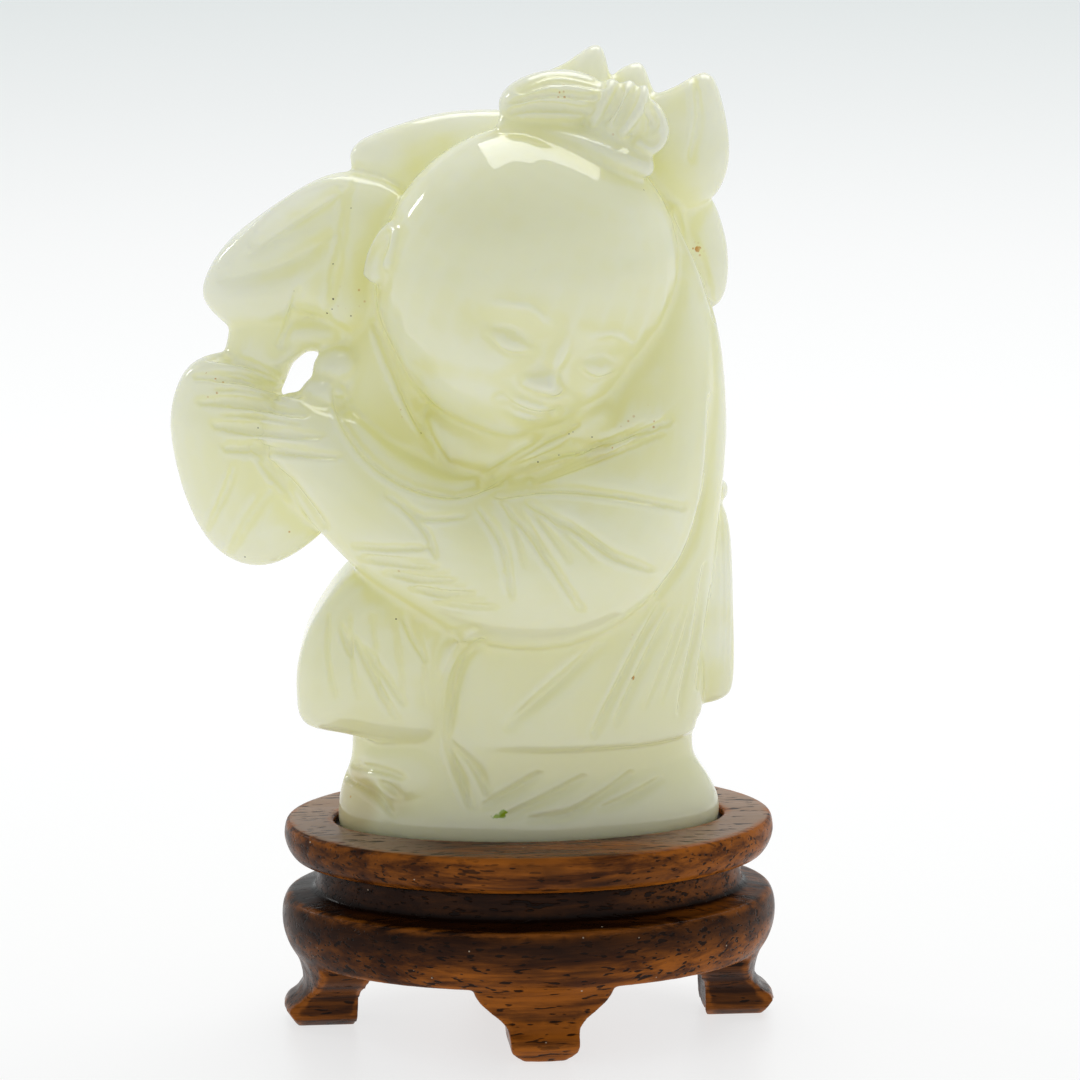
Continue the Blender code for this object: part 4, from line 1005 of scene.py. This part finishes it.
def noise(tree, place, size, detail=3.0, roughness=0.5, warp=0.0):
    inputs = {"Vector": place, "Scale": 1 / size, "Detail": detail, "Roughness": roughness}
    inputs["Distortion"] = warp
    return add_node(tree, "TexNoise", inputs).outputs["Fac"]


def span(tree, value, low, high, to_low=0.0, to_high=1.0):
    """The value's place between two limits, as a number between two others."""
    inputs = {"Value": value, "From Min": low, "From Max": high, "To Min": to_low, "To Max": to_high}
    return add_node(tree, "MapRange", inputs, interpolation_type="SMOOTHSTEP").outputs["Result"]


def blend(tree, amount, first, second, how="MIX"):
    made = tree.nodes.new("ShaderNodeMix")
    made.data_type = "RGBA"
    made.blend_type = how
    for socket, value in ((made.inputs[0], amount), (made.inputs[6], first), (made.inputs[7], second)):
        if isinstance(value, bpy.types.NodeSocket):
            tree.links.new(value, socket)
        else:
            socket.default_value = value if isinstance(value, float) else (*value, 1.0)
    return made.outputs[2]


def maths(tree, how, first, second=0.0):
    return add_node(tree, "Math", {0: first, 1: second}, operation=how).outputs[0]


def times(tree, first, second):
    return maths(tree, "MULTIPLY", first, second)


def most(tree, first, second):
    return maths(tree, "MAXIMUM", first, second)


def layer(tree, name):
    return add_node(tree, "Attribute", attribute_name=name).outputs["Fac"]


def part_of(tree, vector, axis):
    return add_node(tree, "SeparateXYZ", {"Vector": vector}).outputs[axis]


def drawn_out(tree, place, scale):
    """The place with its axes scaled, so that a texture read there is drawn out along the small ones."""
    return add_node(tree, "Mapping", {"Vector": place, "Scale": scale}).outputs["Vector"]


def dots(tree, place, size):
    """For scattered dots: how far the nearest one is, as a share of the size, and a number of its own."""
    cells = add_node(tree, "TexVoronoi", {"Vector": place, "Scale": 1 / size})
    return cells.outputs["Distance"], part_of(tree, cells.outputs["Color"], "X")


def new_finish(name):
    made = bpy.data.materials.new(name)
    made.use_nodes = True
    tree = made.node_tree
    return made, tree, tree.nodes["Principled BSDF"], add_node(tree, "TexCoord").outputs["Object"]


def dress(tree, surface, links, values):
    """Links textures to the finish's sockets and sets its plain values."""
    for name, texture in links.items():
        tree.links.new(texture, surface.inputs[name])
    for name, value in values.items():
        surface.inputs[name].default_value = value


def relief(tree, height, strength, distance):
    node = add_node(tree, "Bump", {"Height": height, "Strength": strength, "Distance": distance})
    return node.outputs["Normal"]


def jade_colour(tree, place):
    """The stone's clouds and milky tone, with painted light: honey-coloured painted shade in its hollows,
    amber where that is deepest, darker painted shade towards its foot, and paler painted highlights on its
    ridges, in its cuts and in patches of painted sheen.
    """
    cloud = noise(tree, place, 9 * MM)
    colour = blend(tree, span(tree, cloud, 0.35, 0.68), JADE_PALE, JADE_DEEP)
    milk_and_sheen = noise(tree, place, 3.5 * MM, detail=2.0)
    colour = blend(tree, span(tree, milk_and_sheen, 0.56, 0.74, 0.0, 0.5), colour, JADE_MILK_AND_SHEEN)
    # Painted shade: honey colour in the broad hollows and at the given patches
    honey_shade = layer(tree, "honey_shade")
    deep = span(tree, layer(tree, "deep"), 0.0, 0.9, 0.0, 0.75)
    colour = blend(tree, most(tree, deep, honey_shade), colour, JADE_HONEY_SHADE)
    # Painted highlight: the cuts paler than the stone round them
    hollow = layer(tree, "hollow")
    colour = blend(tree, span(tree, hollow, 0.05, 0.9, 0.0, 0.6), colour, JADE_GROOVE_HIGHLIGHT)
    # Painted highlight: the ridges paler
    colour = blend(tree, span(tree, hollow, -0.15, -0.8, 0.0, 0.6), colour, JADE_MILK_AND_SHEEN)
    # Painted shade: darker towards the foot
    low = span(tree, part_of(tree, place, "Z"), 14 * MM, 42 * MM, 0.75, 0.0)
    colour = blend(tree, low, colour, JADE_FOOT_SHADE)
    # Painted sheen: paler patches at the given places
    colour = blend(tree, span(tree, layer(tree, "milk_and_sheen"), 0.1, 0.9, 0.0, 0.9), colour, JADE_MILK_AND_SHEEN)
    # Painted shade: amber where the honey patches are strongest
    return blend(tree, span(tree, honey_shade, 0.7, 1.3, 0.0, 0.8), colour, JADE_AMBER_SHADE)


def with_marks(tree, place, colour, pits):
    """The colour with the stone's rusty spots, its green inclusion and its fine black pits."""
    grit = noise(tree, place, 0.35 * MM, detail=2.0)
    rust = layer(tree, "rust")
    apart, number = dots(tree, place, 0.45 * MM)
    dotted = times(tree, span(tree, apart, 0.26, 0.14), span(tree, number, 0.4, 0.8))
    dotted = times(tree, dotted, span(tree, rust, 0.12, 0.4, 0.0, 0.8))
    spotted = times(tree, span(tree, rust, 0.85, 1.1), span(tree, grit, 0.3, 0.6, 0.5, 0.95))
    colour = blend(tree, most(tree, dotted, spotted), colour, JADE_RUST)
    moss = times(tree, layer(tree, "moss"), span(tree, grit, 0.3, 0.6, 0.5, 1.2))
    colour = blend(tree, span(tree, moss, 0.3, 0.6), colour, JADE_MOSS)
    nearest = 1.0
    for pit in pits:
        apart = add_node(tree, "VectorMath", {0: place, 1: pit}, operation="DISTANCE").outputs["Value"]
        nearest = maths(tree, "MINIMUM", apart, nearest)
    edge = maths(tree, "ADD", nearest, times(tree, grit, PIT_RADIUS))
    return blend(tree, span(tree, edge, PIT_CORE, PIT_RADIUS, 1.0, 0.0), colour, JADE_PIT)


def jade_finish(pits):
    made, tree, surface, place = new_finish("jade_finish")
    textures = {
        "Base Color": with_marks(tree, place, jade_colour(tree, place), pits),
        "Roughness": span(tree, layer(tree, "groove"), 0.0, 1.0, 0.07, 0.15),
        "Normal": relief(tree, noise(tree, place, 3.2 * MM, detail=1.0), 0.5, 0.03 * MM),
    }
    dress(tree, surface, textures, JADE_BODY)
    return made


def wood_shade(tree, place, bands):
    """The wood's brown and smoky patches, darker on the side feet; painted shade at the left and in the
    waist; a painted shadow and a darker stain on the band's top; painted light, warmer, at the right and on
    the front foot; and dust with painted sheen on the plate's ends.
    """
    colour = blend(tree, span(tree, bands, 0.38, 0.76), WOOD_BROWN, WOOD_ORANGE)
    from_middle = add_node(tree, "VectorMath", {0: place, 1: STAND_MIDDLE}, operation="SUBTRACT")
    across = part_of(tree, from_middle.outputs["Vector"], "X")
    height = part_of(tree, from_middle.outputs["Vector"], "Z")
    aside = maths(tree, "ABSOLUTE", across)
    clouds = noise(tree, drawn_out(tree, place, (0.4, 1.0, 1.0)), 5 * MM, roughness=0.66, warp=0.4)
    smoke_and_shade = span(tree, clouds, 0.46, 0.68, 0.0, 0.75)
    # Painted shade: darker towards the left
    leftward = span(tree, across, 0.0, -15 * MM, 0.0, 0.55)
    # Painted shade: the waist darker under the plate
    above_band = span(tree, height, BAND_TOP - 0.9 * MM, BAND_TOP)
    waist = times(tree, above_band, span(tree, height, WAIST_TOP + 0.1 * MM, WAIST_TOP, 0.0, 0.85))
    low = span(tree, height, 6 * MM, 4.5 * MM, 0.0, 0.6)
    side_feet = times(tree, span(tree, aside, 10 * MM, 13 * MM), low)
    # Painted light: the front foot and the right side warmer and less smoky
    low = span(tree, height, 7.5 * MM, 4.5 * MM, 0.0, 0.85)
    front_foot = times(tree, span(tree, aside, 10 * MM, 7 * MM), low)
    above_feet = span(tree, height, 4 * MM, 6 * MM)
    rightward = times(tree, span(tree, across, 3 * MM, 14 * MM, 0.0, 0.8), above_feet)
    lit = most(tree, front_foot, rightward)
    smoke_and_shade = times(tree, most(tree, smoke_and_shade, leftward), maths(tree, "SUBTRACT", 1.0, lit))
    colour = blend(tree, most(tree, smoke_and_shade, most(tree, waist, side_feet)), colour, WOOD_DARK)
    # Painted light: orange where the light falls
    warm = times(tree, lit, span(tree, bands, 0.3, 0.6))
    colour = blend(tree, times(tree, warm, 0.7), colour, WOOD_ORANGE)
    # Painted shadow of the plate on the band's top, with a darker stain
    below_waist = span(tree, height, BAND_TOP + 0.2 * MM, BAND_TOP, 0.0, 0.8)
    shoulder = times(tree, span(tree, height, BAND_TOP - 3 * MM, BAND_TOP - 1 * MM), below_waist)
    colour = blend(tree, shoulder, colour, WOOD_DARK)
    # Dust and painted sheen on the upward faces of the plate's ends
    normal = add_node(tree, "NewGeometry").outputs["Normal"]
    upward = span(tree, part_of(tree, normal, "Z"), 0.9, 0.995, 0.0, 0.95)
    on_plate = span(tree, height, WAIST_TOP, WAIST_TOP + 0.5 * MM)
    ends = times(tree, span(tree, aside, 5 * MM, 12 * MM), on_plate)
    return blend(tree, times(tree, upward, ends), colour, WOOD_DUST_AND_SHEEN)


def wood_finish():
    made, tree, surface, place = new_finish("wood_finish")
    along = drawn_out(tree, place, (0.07, 0.6, 1.0))
    bands = noise(tree, along, 0.75 * MM, detail=6.0, roughness=0.66, warp=0.3)
    colour = wood_shade(tree, place, bands)
    pore_place = drawn_out(tree, place, (0.22, 1.0, 1.0))
    fine = span(tree, noise(tree, pore_place, 0.27 * MM, detail=1.0), 0.62, 0.68)
    flecks = span(tree, noise(tree, pore_place, 0.6 * MM, detail=2.0), 0.64, 0.68)
    pores = most(tree, fine, flecks)
    colour = blend(tree, times(tree, pores, 0.9), colour, WOOD_PORE_AND_SHADE)
    # Painted shade in the creases; the ridges rubbed orange
    hollow = layer(tree, "hollow")
    colour = blend(tree, times(tree, span(tree, hollow, 0.1, 0.8), 0.95), colour, WOOD_PORE_AND_SHADE)
    worn = times(tree, span(tree, hollow, -0.2, -0.8), span(tree, bands, 0.35, 0.6))
    colour = blend(tree, times(tree, worn, 0.6), colour, WOOD_ORANGE)
    apart, number = dots(tree, place, 1.3 * MM)
    specks = times(tree, span(tree, apart, 0.07, 0.03), span(tree, number, 0.70, 0.72))
    colour = blend(tree, times(tree, specks, 0.8), colour, WOOD_SPECK)
    tooled = times(tree, noise(tree, along, 0.75 * MM, detail=2.0), 0.5)
    height = maths(tree, "ADD", tooled, times(tree, specks, 0.5))
    textures = {
        "Base Color": colour,
        "Roughness": span(tree, noise(tree, along, 1.2 * MM), 0.3, 0.7, 0.22, 0.38),
        "Normal": relief(tree, maths(tree, "SUBTRACT", height, pores), 0.55, 0.07 * MM),
    }
    dress(tree, surface, textures, WOOD_BODY)
    return made


def floor_finish():
    """A glowing floor of painted light: white near the stand, greyer with distance and, as painted shade,
    a little darker towards the viewer.
    """
    made, tree, surface, place = new_finish("pale_floor")
    away = add_node(tree, "VectorMath", {0: place}, operation="LENGTH").outputs["Value"]
    ramp = tree.nodes.new("ShaderNodeValToRGB")
    tree.links.new(maths(tree, "DIVIDE", away, FLOOR_REACH), ramp.inputs["Fac"])
    while len(ramp.color_ramp.elements) < len(FLOOR_STOPS):
        ramp.color_ramp.elements.new(0.5)
    for element, (distance, *colour) in zip(ramp.color_ramp.elements, FLOOR_STOPS):
        element.position = distance / FLOOR_REACH
        element.color = (*colour, 1.0)
    shade = span(tree, part_of(tree, place, "Y"), -0.05, -0.22, 0.0, FLOOR_FRONT)
    pale = blend(tree, shade, ramp.outputs["Color"], (0.0, 0.0, 0.0))
    # The glow is painted light
    textures = {"Base Color": blend(tree, 1.0, pale, FLOOR_MATT, "MULTIPLY"), "Emission Color": pale}
    dress(tree, surface, textures, FLOOR_BODY)
    return made


# The setting


def floor_piece(collection):
    disc = bmesh.new()
    bmesh.ops.create_circle(disc, cap_ends=True, segments=96, radius=FLOOR_REACH * 3)
    mesh = bpy.data.meshes.new("floor")
    disc.to_mesh(mesh)
    disc.free()
    floor = new_object("floor", mesh, collection)
    mesh.materials.append(floor_finish())


def look_at(thing, target):
    thing.rotation_euler = (target - thing.location).to_track_quat("-Z", "Y").to_euler()


def soft_light(name, place, target, size, energy, collection):
    lamp = bpy.data.lights.new(name, "AREA")
    lamp.shape = "RECTANGLE"
    lamp.size, lamp.size_y = size
    lamp.energy = energy
    lamp_object = new_object(name, lamp, collection)
    lamp_object.location = place
    look_at(lamp_object, target)


def lights(collection):
    """A white tent, dimmer overhead, a soft lamp above and behind, and a small one for the left glint."""
    world = bpy.data.worlds.new("white tent")
    bpy.context.scene.world = world
    world.use_nodes = True
    tree = world.node_tree
    backdrop = tree.nodes["Background"]
    backdrop.inputs["Color"].default_value = TENT_COLOUR
    way = add_node(tree, "TexCoord").outputs["Generated"]
    level = span(tree, part_of(tree, way, "Y"), -0.9, 0.2, TENT_FRONT, TENT_BACK)
    overhead = span(tree, part_of(tree, way, "Z"), 0.15, 0.6, 1.0, TENT_TOP)
    tree.links.new(times(tree, level, overhead), backdrop.inputs["Strength"])
    middle = STAND_MIDDLE + Vector((0, 0, LIT_HEIGHT))
    place = middle + Vector(LAMP_PLACE)
    soft_light("overhead", place, place - Vector((0, 0, 1)), LAMP_SIZE, LAMP_WATTS, collection)
    soft_light("left glint", middle + Vector(GLINT_PLACE), middle, GLINT_SIZE, GLINT_WATTS, collection)


def camera(collection):
    aim, back = photo_view()
    lens = bpy.data.cameras.new("camera")
    lens.lens = PHOTO_LENS
    lens.sensor_width = PHOTO_SENSOR
    lens.clip_start = 0.02
    lens.clip_end = 20
    eye = new_object("camera", lens, collection)
    eye.location = aim + back * PHOTO_DISTANCE
    look_at(eye, aim)
    bpy.context.scene.camera = eye


def main():
    collection = bpy.data.collections.new("dressed figure")
    bpy.context.scene.collection.children.link(collection)
    camera(collection)
    boy = new_object("carved_jade_boy", jade_mesh(collection), collection)
    # Marks, painted shade and painted sheen, each as a layer of soft patches
    for name, patches in STAINS_AND_PAINTED_LIGHT.items():
        add_patches(boy.data, name, patches)
    boy.data.materials.append(jade_finish(places_on(boy.data, PIT_PIXELS)))
    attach(boy, "root")
    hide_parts("jade_boy")
    stand = new_object("carved_wood_stand", wood_mesh(collection), collection)
    stand.data.materials.append(wood_finish())
    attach(stand, "root")
    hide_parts("wood_stand")
    floor_piece(collection)
    lights(collection)
    bpy.context.scene.view_settings.view_transform = "Standard"


main()
